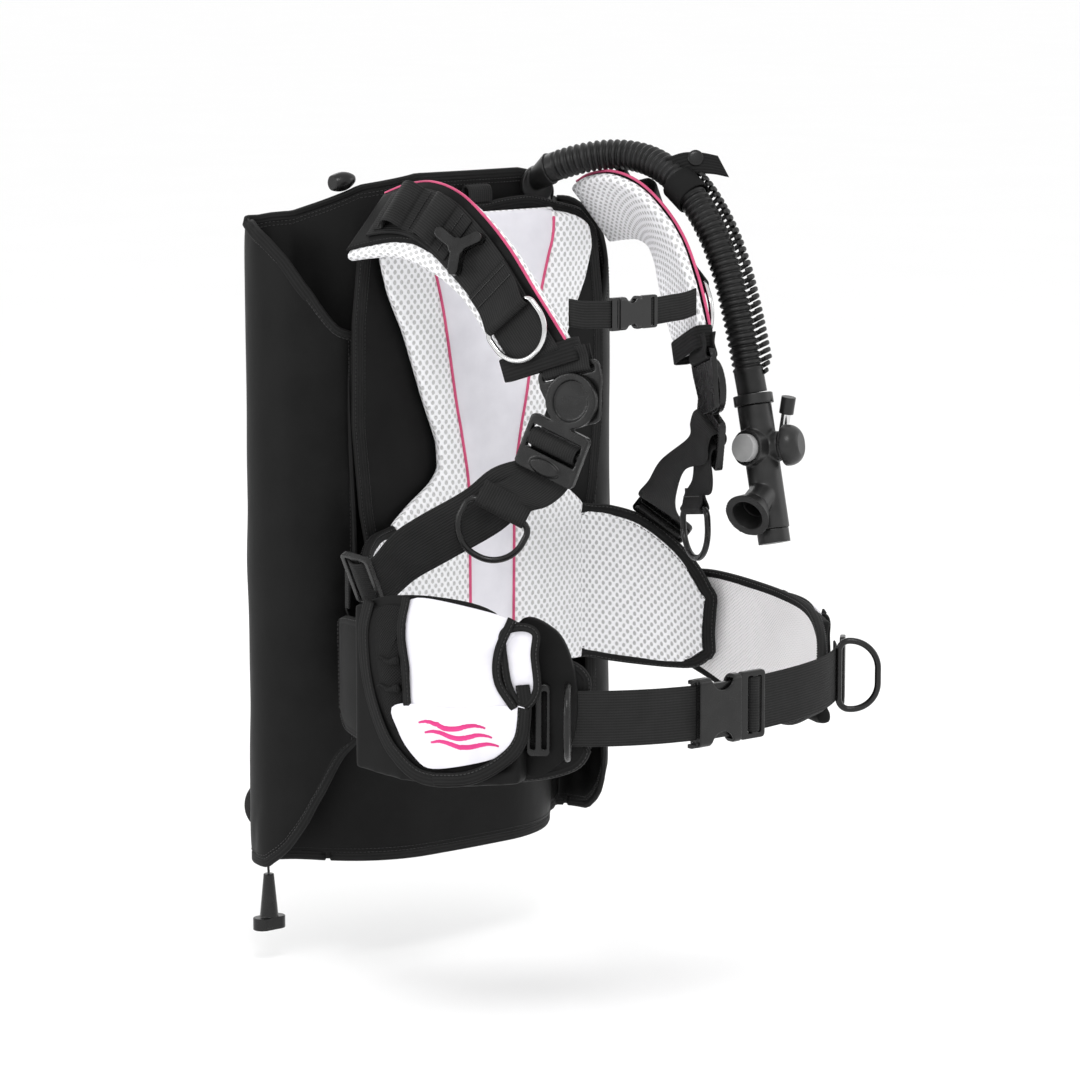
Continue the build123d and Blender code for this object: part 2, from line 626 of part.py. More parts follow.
KEEPER = Vector(132.4, -262, 323.5)
keeper_axis = (Vector(*HOSE_ROUTE[5]) - Vector(*HOSE_ROUTE[4])).normalized()
with BuildPart() as hose_keeper:
    with BuildSketch(Plane(origin=KEEPER - keeper_axis * 12.5, z_dir=keeper_axis)):
        Circle(HOSE_DIAMETER / 2 + 3)
        Circle(HOSE_DIAMETER / 2 + 0.6, mode=Mode.SUBTRACT)
    extrude(amount=25)
save(hose_keeper, "hose_keeper")

INFLATOR_TOP = Vector(141, -346, 140)
INFLATOR_LOW = Vector(138, -383, -5)
BODY_DOWN = (INFLATOR_LOW - INFLATOR_TOP).normalized()
BODY_RADIUS = 16.0
cuff_end = Vector(*HOSE_ROUTE[-1])
with BuildPart() as hose_clamp:
    with BuildSketch(Plane(origin=cuff_end + BODY_DOWN * 1.2, z_dir=BODY_DOWN)):
        Circle(18.5)
    extrude(amount=9.8)
save(hose_clamp, "hose_clamp")

body_start = cuff_end + BODY_DOWN * 11.2
body_length = 116.0
valve_hub = body_start + BODY_DOWN * 40
BUTTON_AXIS = Vector(-0.98, -0.15, 0.10).normalized()
DOME_AXIS = Vector(0.48, -0.86, 0.14).normalized()
INLET_AXIS = Vector(0.86, 0.48, 0).normalized()
MOUTH_AXIS = Vector(-0.85, -0.30, -0.43).normalized()
INLET_RADIUS = 6.4
mouth_root = body_start + BODY_DOWN * 80
with BuildPart() as inflator_body:
    with BuildSketch(Plane(origin=body_start, z_dir=BODY_DOWN)):
        Circle(BODY_RADIUS)
    extrude(amount=body_length)
    with BuildSketch(Plane(origin=valve_hub, z_dir=BUTTON_AXIS)):
        Circle(17)
    extrude(amount=21)
    with BuildSketch(Plane(origin=valve_hub + BUTTON_AXIS * 15, z_dir=BUTTON_AXIS)):
        Circle(13.5)
    extrude(amount=12, mode=Mode.SUBTRACT)
    with BuildSketch(Plane(origin=valve_hub, z_dir=DOME_AXIS)):
        Circle(14)
    extrude(amount=20)
    with BuildSketch(Plane(origin=valve_hub + DOME_AXIS * 14, z_dir=INLET_AXIS)):
        Circle(INLET_RADIUS)
    extrude(amount=27)
    with BuildSketch(Plane(origin=mouth_root, z_dir=MOUTH_AXIS)):
        Circle(14)
    extrude(amount=27)
    with BuildSketch(Plane(origin=mouth_root + MOUTH_AXIS * 4, z_dir=MOUTH_AXIS)):
        Circle(10.5)
    extrude(amount=24, mode=Mode.SUBTRACT)
save(inflator_body, "inflator_body")

with BuildPart() as mouthpiece:
    mouth_plane = Plane(origin=mouth_root + MOUTH_AXIS * 27.2, z_dir=MOUTH_AXIS)
    with BuildSketch(mouth_plane):
        Circle(14.5)
    with BuildSketch(mouth_plane.offset(16)):
        Circle(22)
    loft()
    with BuildSketch(mouth_plane):
        Circle(10.5)
    with BuildSketch(mouth_plane.offset(16)):
        Circle(15)
    loft(mode=Mode.SUBTRACT)
save(mouthpiece, "mouthpiece")

with BuildPart() as deflate_button:
    with BuildSketch(Plane(origin=valve_hub + BUTTON_AXIS * 19, z_dir=BUTTON_AXIS)):
        Circle(13)
    extrude(amount=8)
save(deflate_button, "deflate_button")

with BuildPart() as inflate_button:
    dome_plane = Plane(origin=valve_hub + DOME_AXIS * 24, z_dir=DOME_AXIS)
    with BuildSketch(dome_plane):
        Circle(19)
    with BuildSketch(dome_plane.offset(9)):
        Circle(18)
    with BuildSketch(dome_plane.offset(16)):
        Circle(11)
    loft()
save(inflate_button, "inflate_button")

nipple_base = valve_hub + DOME_AXIS * 14 + INLET_AXIS * 20
NIPPLE_AXIS = Vector(0.05, -0.16, 1).normalized()
with BuildPart() as inflator_nipple:
    nipple_start = nipple_base + NIPPLE_AXIS * (INLET_RADIUS + RUN_GAP)
    with BuildSketch(Plane(origin=nipple_start, z_dir=NIPPLE_AXIS)):
        Circle(4.5)
    extrude(amount=35)
save(inflator_nipple, "inflator_nipple")

CAP_START = 29.0
with BuildPart() as nipple_cap:
    with BuildSketch(Plane(origin=nipple_base + NIPPLE_AXIS * CAP_START, z_dir=NIPPLE_AXIS)):
        Circle(6.8)
    extrude(amount=16)
    with BuildSketch(Plane(origin=nipple_base + NIPPLE_AXIS * CAP_START, z_dir=NIPPLE_AXIS)):
        Circle(4.5 + RUN_GAP)
    extrude(amount=13.2, mode=Mode.SUBTRACT)
save(nipple_cap, "nipple_cap")

with BuildPart() as inflator_end_cap:
    with BuildSketch(Plane(origin=body_start + BODY_DOWN * (body_length + 0.2),
                           z_dir=BODY_DOWN)):
        Circle(15)
    extrude(amount=13)
save(inflator_end_cap, "inflator_end_cap")

# ---------------------------------------------------------------- dump valves and their pulls

DUMP_FACING = Vector(0.62, 0.785, 0).normalized()
with BuildPart() as lower_dump_valve:
    with BuildSketch(Plane(origin=(-171, -15.5, -262), z_dir=DUMP_FACING)):
        Circle(27)
    extrude(amount=6)
    with BuildSketch(Plane(origin=(-171, -15.5, -262) + DUMP_FACING * 6, z_dir=DUMP_FACING)):
        Circle(21)
    extrude(amount=8)
save(lower_dump_valve, "lower_dump_valve")

CORD_DIAMETER = 2.6
DUMP_ROUTE = [(-160, 2, -285.5), (-162, 4, -297), (-164.5, 3, -308.5), (-166, 0, -320),
              (-166.5, -2, -331)]
save(tube(DUMP_ROUTE, CORD_DIAMETER, "dump cord"), "lower_dump_cord")

toggle_top = Vector(*DUMP_ROUTE[-1]) - Vector(0, 0, 0.4)
with BuildPart() as lower_dump_toggle:
    with BuildSketch(Plane.XY.offset(toggle_top.Z)):
        with Locations((toggle_top.X, toggle_top.Y)):
            Circle(5)
    with BuildSketch(Plane.XY.offset(toggle_top.Z - 42)):
        with Locations((toggle_top.X, toggle_top.Y)):
            Circle(9)
    loft()
    with BuildSketch(Plane.XY.offset(toggle_top.Z - 42)):
        with Locations((toggle_top.X, toggle_top.Y)):
            SlotOverall(34, 18)
    extrude(amount=-12)
save(lower_dump_toggle, "lower_dump_toggle")

with BuildPart() as upper_dump_valve:
    with BuildSketch(Plane.XZ.offset(96.3)):
        with Locations((-38, 312)):
            Circle(20)
    extrude(amount=-6)
save(upper_dump_valve, "upper_dump_valve")

with BuildPart() as upper_dump_knob:
    with BuildSketch(Plane.YZ.offset(-136)):
        with Locations((-70, 332)):
            Circle(7)
    with BuildSketch(Plane.YZ.offset(-126)):
        with Locations((-72, 333)):
            Circle(9)
    with BuildSketch(Plane.YZ.offset(-114)):
        with Locations((-74, 335)):
            Circle(4)
    loft()
save(upper_dump_knob, "upper_dump_knob")
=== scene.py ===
import json
from math import cos, exp, pi, radians, sin

import bpy
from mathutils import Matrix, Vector, noise
from mathutils.bvhtree import BVHTree

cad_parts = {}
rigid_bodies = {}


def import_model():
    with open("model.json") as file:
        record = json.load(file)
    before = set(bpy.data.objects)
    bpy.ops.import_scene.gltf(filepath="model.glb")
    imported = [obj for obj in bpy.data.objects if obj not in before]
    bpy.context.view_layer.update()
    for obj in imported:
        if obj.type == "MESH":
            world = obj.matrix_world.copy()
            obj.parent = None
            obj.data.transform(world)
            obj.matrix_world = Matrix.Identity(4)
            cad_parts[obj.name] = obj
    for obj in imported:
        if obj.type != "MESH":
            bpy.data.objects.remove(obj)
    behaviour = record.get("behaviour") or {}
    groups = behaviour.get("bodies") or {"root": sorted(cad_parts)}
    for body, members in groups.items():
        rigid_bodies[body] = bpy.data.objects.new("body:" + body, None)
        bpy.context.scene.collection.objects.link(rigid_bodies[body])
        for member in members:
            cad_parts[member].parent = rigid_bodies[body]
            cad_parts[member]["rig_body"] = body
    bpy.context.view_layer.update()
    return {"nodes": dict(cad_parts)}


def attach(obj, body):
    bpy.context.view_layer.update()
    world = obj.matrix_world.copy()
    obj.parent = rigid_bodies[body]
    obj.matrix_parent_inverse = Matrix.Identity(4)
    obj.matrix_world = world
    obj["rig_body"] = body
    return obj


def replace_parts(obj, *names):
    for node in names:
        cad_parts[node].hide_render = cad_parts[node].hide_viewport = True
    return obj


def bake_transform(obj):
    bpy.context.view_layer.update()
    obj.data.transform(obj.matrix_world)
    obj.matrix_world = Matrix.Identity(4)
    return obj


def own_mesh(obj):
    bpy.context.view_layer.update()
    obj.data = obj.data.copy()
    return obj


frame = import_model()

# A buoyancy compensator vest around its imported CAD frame. Lengths are in millimetres, turned
# to metres by mm(); places are given for the wearer's left side (+X) and mirrored by a side.

MM = 0.001
SIDES = {"right": -1, "left": 1}
WEB_WIDE = 50.0
WEB_THICK = 2.4
PIPING = 2.8                # diameter of the pink piping
TAPE_WIDE = 15.0            # binding tape, folded over an edge
PUFF_FRAMES = 16            # steps of each cloth simulation


# ---------------------------------------------------------------- places and curves

def mm(place, side=1):
    """A place in millimetres for the left side, as metres on the side asked for."""
    return Vector((side * place[0], place[1], place[2])) * MM


def along(points, t):
    """The value at t on a smooth curve through the points, one unit of t to each run."""
    index = max(0, min(int(t), len(points) - 2))
    part = t - index
    here, there = points[index], points[index + 1]
    before = points[index - 1] if index else here * 2 - there
    after = points[index + 2] if index + 2 < len(points) else there * 2 - here
    return (here * 2 + (there - before) * part
            + (before * 2 - here * 5 + there * 4 - after) * part ** 2
            + (here * 3 - before - there * 3 + after) * part ** 3) * 0.5


def trace(points, steps):
    """Places evenly spread over a smooth curve through the points, both ends included."""
    return [along(points, step * (len(points) - 1) / steps) for step in range(steps + 1)]


def evenly(points, count):
    """The points of a line, spread again at equal distances."""
    reach = [0.0]
    for start, end in zip(points, points[1:]):
        reach.append(reach[-1] + (end - start).length)
    placed, index = [], 0
    for step in range(count):
        want = reach[-1] * step / (count - 1)
        while index < len(points) - 2 and reach[index + 1] < want:
            index += 1
        run = reach[index + 1] - reach[index]
        part = (want - reach[index]) / run if run else 0.0
        placed.append(points[index].lerp(points[index + 1], part))
    return placed


def round_loop(points, count):
    """A closed line's points, spread again at equal distances without repeating the first."""
    return evenly(points + points[:1], count + 1)[:-1]


def beside(line, facings):
    """For a closed line, the directions square to it in the plane that its facings give."""
    return [facing.cross(line[(index + 1) % len(line)] - line[index - 1]).normalized()
            for index, facing in enumerate(facings)]


def length_of(points):
    """The length of a line through its points."""
    return sum((end - start).length for start, end in zip(points, points[1:]))


def smoothstep(value):
    """A share from 0 to 1 with soft ends."""
    value = max(0.0, min(1.0, value))
    return value * value * (3 - 2 * value)


def between(pairs, value):
    """Read a table of (value, result) pairs, the values falling or rising, in straight runs."""
    for (start, first), (end, last) in zip(pairs, pairs[1:]):
        if min(start, end) <= value <= max(start, end):
            return first + (last - first) * (value - start) / (end - start)
    ends = pairs[0], pairs[-1]
    return min(ends, key=lambda pair: abs(pair[0] - value))[1]


def crease(place, scale, seed):
    """Soft noise from -1 to 1 at a place in metres; scale is the size of its folds."""
    return noise.noise(place / scale + Vector((seed, seed * 1.7, seed * 0.6)))


def directions(path, index):
    """The unit direction of a path at one of its points."""
    ahead = path[min(index + 1, len(path) - 1)] - path[max(index - 1, 0)]
    return ahead.normalized()


# ---------------------------------------------------------------- procedural materials

LOOKS = {}


def node(tree, kind, inputs=(), **settings):
    """Add a shader node; an input given as a socket is linked, any other is set."""
    made = tree.nodes.new("ShaderNode" + kind)
    for name, value in settings.items():
        setattr(made, name, value)
    for key, value in dict(inputs).items():
        if isinstance(value, bpy.types.NodeSocket):
            tree.links.new(value, made.inputs[key])
        else:
            made.inputs[key].default_value = value
    return made


def calc(tree, operation, first, second=0.0):
    """One step of arithmetic in a shader."""
    return node(tree, "Math", {0: first, 1: second}, operation=operation).outputs[0]


def ramp(tree, factor, stops):
    """Colours between stops given as (position, grey level or colour)."""
    made = node(tree, "ValToRGB", {0: factor})
    elements = made.color_ramp.elements
    for index, (position, colour) in enumerate(stops):
        element = elements[index] if index < 2 else elements.new(position)
        element.position = position
        level = colour if isinstance(colour, tuple) else (colour, colour, colour)
        element.color = (*level, 1)
    return made.outputs[0]


def spread(tree, factor, low, high, start=0.0, end=1.0):
    """Map a factor smoothly from start..end to low..high."""
    return node(tree, "MapRange", {0: factor, 1: start, 2: end, 3: low, 4: high},
                interpolation_type="SMOOTHSTEP").outputs[0]


def vector(tree, operation, first, second=(0, 0, 0)):
    """One step of vector arithmetic in a shader."""
    return node(tree, "VectorMath", {0: first, 1: second}, operation=operation).outputs[0]


def stretched(tree, place, scale):
    """A place scaled by its own amount along each axis."""
    return vector(tree, "MULTIPLY", place, scale)


def cloud(tree, place, size, detail=3.0):
    """Noise from 0 to 1 with features of a size in millimetres."""
    return node(tree, "TexNoise", {"Vector": place, "Scale": 1 / (size * MM),
                                   "Detail": detail}).outputs[0]


def ridges(tree, place, pitch, axis):
    """Even ribs across an axis, a pitch in millimetres apart."""
    wave = node(tree, "TexWave", {"Vector": place, "Scale": pi / 10 / (pitch * MM)},
                bands_direction=axis)
    return wave.outputs[1]


def holes(tree, cloth, wide, tall, size):
    """Distance to the nearest hole of a staggered grid, in units of a hole's radius."""
    cells = stretched(tree, cloth, (1 / (wide * MM), 1 / (tall * MM), 0))
    nearest = []
    for shift in (0.0, 0.5):
        cell = vector(tree, "FRACTION", vector(tree, "ADD", cells, (shift, shift, 0)))
        centred = vector(tree, "SUBTRACT", cell, (0.5, 0.5, 0))
        offset = stretched(tree, centred, (wide / size[0], tall / size[1], 0))
        nearest.append(node(tree, "VectorMath", {0: offset}, operation="LENGTH").outputs[1])
    return calc(tree, "MINIMUM", *nearest)


def surface(name, slot, roughness, **sockets):
    """Start a material and file it as a look: its node tree and its Principled shader."""
    made = bpy.data.materials.new(name)
    made.use_nodes = True
    shader = made.node_tree.nodes["Principled BSDF"]
    shader.inputs["Roughness"].default_value = roughness
    for key, value in sockets.items():
        shader.inputs[key.replace("_", " ")].default_value = value
    LOOKS[name] = (made, slot)
    return made.node_tree, shader


def finish(tree, shader, colour, height, depth, rough=None):
    """Link the colour and a bump of a depth in millimetres, and the roughness if it varies."""
    tree.links.new(colour, shader.inputs["Base Color"])
    bump = node(tree, "Bump", {"Height": height, "Strength": 1.0, "Distance": depth * MM})
    tree.links.new(bump.outputs[0], shader.inputs["Normal"])
    if rough is not None:
        tree.links.new(rough, shader.inputs["Roughness"])


def coordinates(tree):
    """The cloth's own flat coordinates and the object's, both in metres."""
    cloth = node(tree, "UVMap", uv_map="cloth").outputs[0]
    return cloth, node(tree, "TexCoord").outputs["Object"]


def moulded_look(name, dark, light, roughness, **sockets):
    """Moulded plastic or rubber: fine grain, and faint wear in its gloss and colour."""
    tree, shader = surface(name, name, roughness, **{"Specular_IOR_Level": 0.4, **sockets})
    place = node(tree, "TexCoord").outputs["Object"]
    patches = cloud(tree, place, 14.0)
    grain = cloud(tree, place, 0.5, 2.0)
    finish(tree, shader, ramp(tree, patches, [(0.3, dark), (0.72, light)]), grain, 0.05,
           spread(tree, patches, roughness - 0.06, roughness + 0.07))


def nylon_look(name, dark, light, roughness):
    """Coated nylon cloth: a plain weave under soft patches of wear."""
    tree, shader = surface(name, name, roughness, Specular_IOR_Level=0.12)
    cloth, place = coordinates(tree)
    warp = calc(tree, "MAXIMUM", ridges(tree, cloth, 0.7, "X"), ridges(tree, cloth, 0.7, "Y"))
    patches = cloud(tree, place, 38.0, 4.0)
    wrinkles = cloud(tree, stretched(tree, place, (1.0, 1.0, 0.45)), 11.0, 3.0)
    height = calc(tree, "ADD", calc(tree, "MULTIPLY", warp, 0.25),
                  calc(tree, "MULTIPLY", wrinkles, 3.0))
    finish(tree, shader, ramp(tree, patches, [(0.3, dark), (0.75, light)]), height, 0.06,
           spread(tree, patches, roughness - 0.08, roughness + 0.08))


def webbing_look(name, slot, dark, light, rib=1.5, cord_pitch=2.4):
    """Woven webbing: ribs across it and cords along it, painted darker in their grooves as shade,
    with random patches of tone.
    """
    tree, shader = surface(name, slot, 0.7, Specular_IOR_Level=0.2)
    cloth, place = coordinates(tree)
    ribs = ridges(tree, cloth, rib, "X")
    cords = ridges(tree, cloth, cord_pitch, "Y")
    patches = cloud(tree, place, 20.0)
    weave = calc(tree, "ADD", calc(tree, "MULTIPLY", ribs, 0.45), cords)
    # The weave in the colour is painted shade, dark in the grooves and light on the crests; the
    # patches are random tone.
    colour = ramp(tree, calc(tree, "MULTIPLY", calc(tree, "ADD", weave, patches), 0.42),
                  [(0.15, dark), (0.9, light)])
    finish(tree, shader, colour, weave, 0.22)


def mesh_look(name, slot, wide, tall, size, thread, hole, depth=0.7):
    """Spacer mesh: knitted thread round staggered oval holes, painted darker as shade down in them.
    """
    tree, shader = surface(name, slot, 0.85, Specular_IOR_Level=0.2)
    cloth, place = coordinates(tree)
    wobble = node(tree, "TexNoise", {"Vector": cloth, "Scale": 160.0, "Detail": 1.0})
    shifted = vector(tree, "SUBTRACT", wobble.outputs[1], (0.5, 0.5, 0.5))
    bent = vector(tree, "ADD", cloth, stretched(tree, shifted, (0.0012,) * 3))
    distance = holes(tree, bent, wide, tall, size)
    yarn = ridges(tree, bent, 0.8, "DIAGONAL")
    shade = cloud(tree, place, 30.0)
    # Towards each hole's middle the colour falls to the hole colour: painted shade in the holes.
    edge = spread(tree, distance, 0.0, 1.0, 0.55, 1.25)
    tone_with_hole_shade = calc(tree, "ADD", edge, calc(tree, "MULTIPLY", shade, 0.08))
    tone_with_hole_shade = calc(tree, "SUBTRACT", tone_with_hole_shade, calc(tree, "MULTIPLY", yarn, 0.06))
    height = calc(tree, "ADD", edge, calc(tree, "MULTIPLY", yarn, 0.12))
    finish(tree, shader, ramp(tree, tone_with_hole_shade, [(0.02, hole), (0.98, thread)]), height, depth)


def make_looks():
    """Every material, each filed with the slot that it stands for."""
    moulded_look("moulded_black", 0.004, 0.009, 0.26, Specular_IOR_Level=0.34)
    moulded_look("gloss_black", 0.003, 0.005, 0.1, Specular_IOR_Level=0.6)
    moulded_look("inflator_plastic", 0.01, 0.018, 0.34, Specular_IOR_Level=0.36)
    moulded_look("hose_rubber", 0.006, 0.014, 0.38, Specular_IOR_Level=0.3)
    moulded_look("button_grey", 0.3, 0.38, 0.45)
    moulded_look("rubber_pad", 0.03, 0.045, 0.7)
    nylon_look("cell_nylon", 0.003, 0.006, 0.5)
    nylon_look("black_nylon", 0.004, 0.008, 0.6)
    webbing_look("webbing", "webbing", 0.004, 0.02)
    webbing_look("tape", "black_nylon", 0.002, 0.011, 1.1, 3.2)
    webbing_look("embroidery", "white_fabric", (0.5, 0.02, 0.14), (0.86, 0.09, 0.33), 0.9, 6.0)
    # Each mesh's value after its thread colour is the painted shade in its holes.
    mesh_look("white_mesh", "white_mesh", 7.4, 9.6, (1.75, 2.3), (0.93, 0.93, 0.95), 0.56, 1.0)
    mesh_look("wing_mesh", "white_mesh", 9.6, 7.4, (2.3, 1.75), (0.93, 0.93, 0.95), 0.5, 1.0)
    mesh_look("fine_mesh", "white_mesh", 3.4, 3.4, (0.8, 0.75), (0.93, 0.91, 0.92), 0.7, 0.4)
    mesh_look("black_mesh", "black_nylon", 2.4, 2.8, (0.75, 0.8), (0.012,) * 3, 0.001, 0.4)
    for name, slot, dark, light in (
            ("white_fabric", "white_fabric", (0.72, 0.71, 0.76), (0.8, 0.79, 0.84)),
            ("pink", "white_fabric", (0.5, 0.045, 0.14), (0.66, 0.08, 0.2)),
            ("black_thread", "black_nylon", (0.004,) * 3, (0.014,) * 3),
            ("cord", "cord", (0.006,) * 3, (0.02,) * 3)):
        tree, shader = surface(name, slot, 0.7, Sheen_Weight=0.15)
        cloth, place = coordinates(tree)
        weave = calc(tree, "MAXIMUM", ridges(tree, cloth, 0.9, "X"),
                     ridges(tree, cloth, 0.9, "Y"))
        soft = cloud(tree, place, 26.0)
        finish(tree, shader, ramp(tree, soft, [(0.3, dark), (0.7, light)]), weave, 0.1)
    tree, shader = surface("polished_steel", "polished_steel", 0.12, Metallic=1.0)
    place = node(tree, "TexCoord").outputs["Object"]
    scuffs = cloud(tree, stretched(tree, place, (1, 1, 6)), 3.0)
    finish(tree, shader, ramp(tree, scuffs, [(0.2, 0.55), (0.8, 0.68)]), scuffs, 0.002,
           spread(tree, scuffs, 0.1, 0.18))


# ---------------------------------------------------------------- mesh building

class Batch:
    """Gathers faces, their cloth coordinates and their look before they become one object."""

    def __init__(self):
        self.points, self.faces, self.corners, self.marks = [], [], [], []

    def face(self, indices, corners, mark):
        self.faces.append(indices)
        self.corners.append(corners)
        self.marks.append(mark)

    def skin(self, rings, mark=0, closed=False):
        """Join rings of points, each ring closed on itself, into a tube."""
        start, size = len(self.points), len(rings[0])
        self.points += [place for ring in rings for place in ring]
        rounds = [0.0]
        for index in range(size):
            rounds.append(rounds[-1] + (rings[0][(index + 1) % size] - rings[0][index]).length)
        reach = [0.0]
        for ring, other in zip(rings, rings[1:] + rings[:1]):
            reach.append(reach[-1] + (sum(other, Vector()) - sum(ring, Vector())).length / size)
        for row in range(len(rings) if closed else len(rings) - 1):
            low = start + row * size
            high = start + (row + 1) % len(rings) * size
            for index in range(size):
                following = (index + 1) % size
                self.face((low + index, low + following, high + following, high + index),
                          ((reach[row], rounds[index]), (reach[row], rounds[index + 1]),
                           (reach[row + 1], rounds[index + 1]), (reach[row + 1], rounds[index])),
                          mark)
        if not closed:
            for row, order in ((0, range(size - 1, -1, -1)), (len(rings) - 1, range(size))):
                indices = [start + row * size + index for index in order]
                self.face(indices, [(reach[row], rounds[index]) for index in order], mark)

    def build(self, name, looks, body):
        """Turn the batch into an object that rides on a body, one look to each mark."""
        mesh = bpy.data.meshes.new(name)
        mesh.from_pydata([tuple(place) for place in self.points], [], self.faces)
        layer = mesh.uv_layers.new(name="cloth")
        layer.data.foreach_set("uv", [value for face in self.corners
                                      for corner in face for value in corner])
        for look in looks:
            mesh.materials.append(LOOKS[look][0])
        mesh.polygons.foreach_set("material_index", self.marks)
        mesh.polygons.foreach_set("use_smooth", [True] * len(self.faces))
        mesh.validate()
        made = bpy.data.objects.new(name, mesh)
        bpy.context.scene.collection.objects.link(made)
        if body:
            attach(made, body)
        return made


def band(width, thick, columns=6):
    """The section of flat webbing with rounded edges: (across, facing) offsets in metres."""
    half, rim = width * MM / 2, thick * MM / 2
    flat = half - rim
    top = [(-flat + 2 * flat * step / columns, rim) for step in range(columns + 1)]
    return ([(-half, 0), (-half + rim * 0.3, rim * 0.7), *top, (half - rim * 0.3, rim * 0.7),
             (half, 0), (half - rim * 0.3, -rim * 0.7), *[(a, -f) for a, f in reversed(top)],
             (-half + rim * 0.3, -rim * 0.7)])


def round_section(diameter, sides=10):
    """A circle of a diameter in millimetres, as offsets in metres."""
    return [(cos(2 * pi * step / sides) * diameter * MM / 2,
             sin(2 * pi * step / sides) * diameter * MM / 2) for step in range(sides)]


def rings_along(path, acrosses, section, closed=False):
    """Rings of a section carried along a path; acrosses give its width direction."""
    rings = []
    count = len(path)
    for index, centre in enumerate(path):
        if closed:
            ahead = path[(index + 1) % count] - path[index - 1]
        else:
            ahead = path[min(index + 1, count - 1)] - path[max(index - 1, 0)]
        across = acrosses[index].normalized()
        ahead = (ahead - across * ahead.dot(across)).normalized()
        facing = across.cross(ahead)
        outline = section(index) if callable(section) else section
        rings.append([centre + across * a + facing * f for a, f in outline])
    return rings


def tube_rings(path, section, closed=False):
    """Rings of a section round a path, turned as little as possible from ring to ring."""
    across = Vector((0.3, 0.2, 1)).cross(path[1] - path[0]).normalized()
    acrosses = []
    for index in range(len(path)):
        ahead = directions(path, index)
        across = (across - ahead * across.dot(ahead)).normalized()
        acrosses.append(across.copy())
    return rings_along(path, acrosses, section, closed)


def webbing(name, path, acrosses, body, width=WEB_WIDE, thick=WEB_THICK, closed=False):
    """A strap of webbing along a path, as its own object."""
    batch = Batch()
    batch.skin(rings_along(path, acrosses, band(width, thick), closed), closed=closed)
    return batch.build(name, ["webbing"], body)


def dashes(batch, path, normals, mark=0, pitch=3.8, long=2.6, wide=0.7):
    """A row of stitches on a line: slim pointed bars standing just out of the cloth."""
    total = length_of(path)
    count = max(2, int(total / (pitch * MM)))
    places = evenly(path, count * 4 + 1)
    faces = evenly(normals, count * 4 + 1)
    for index in range(count):
        centre, normal = places[index * 4 + 2], faces[index * 4 + 2].normalized()
        ahead = (places[index * 4 + 3] - places[index * 4 + 1]).normalized()
        sideways = normal.cross(ahead)
        rings = []
        for reach, size in ((-0.5, 0.35), (-0.3, 1.0), (0.3, 1.0), (0.5, 0.35)):
            middle = centre + ahead * (reach * long * MM)
            half = wide * size * MM / 2
            rings.append([middle + sideways * half, middle + normal * half * 1.2,
                          middle - sideways * half, middle - normal * half])
        batch.skin(rings, mark)


def modify(piece, kind, **settings):
    """Add a modifier and apply it to the mesh."""
    made = piece.modifiers.new(kind, kind)
    for name, value in settings.items():
        setattr(made, name, value)
    bpy.context.view_layer.objects.active = piece
    with bpy.context.temp_override(object=piece, active_object=piece):
        bpy.ops.object.modifier_apply(modifier=made.name)


def subdivide(piece):
    """Round a mesh with one level of subdivision."""
    modify(piece, "SUBSURF", levels=1, render_levels=1)


def puff(piece, pinned, pressure, cap):
    """Blow a sewn pad up between its pinned seams by cloth simulation, cap in millimetres."""
    scene = bpy.context.scene
    rest = [vertex.co.copy() for vertex in piece.data.vertices]
    seams = piece.vertex_groups.new(name="seams")
    seams.add(pinned, 1.0, "REPLACE")
    cloth = piece.modifiers.new("Cloth", "CLOTH")
    settings = cloth.settings
    settings.use_pressure = True
    settings.uniform_pressure_force = pressure
    settings.vertex_group_mass = "seams"
    settings.tension_stiffness = settings.compression_stiffness = 12
    settings.bending_stiffness = 0.3
    settings.effector_weights.gravity = 0
    for step in range(1, PUFF_FRAMES + 1):
        scene.frame_set(step)
    bpy.context.view_layer.objects.active = piece
    with bpy.context.temp_override(object=piece, active_object=piece):
        bpy.ops.object.modifier_apply(modifier=cloth.name)
    scene.frame_set(1)
    for vertex, start in zip(piece.data.vertices, rest):
        moved = vertex.co - start
        if moved.length > cap * MM:
            vertex.co = start + moved.normalized() * cap * MM
    piece.vertex_groups.clear()


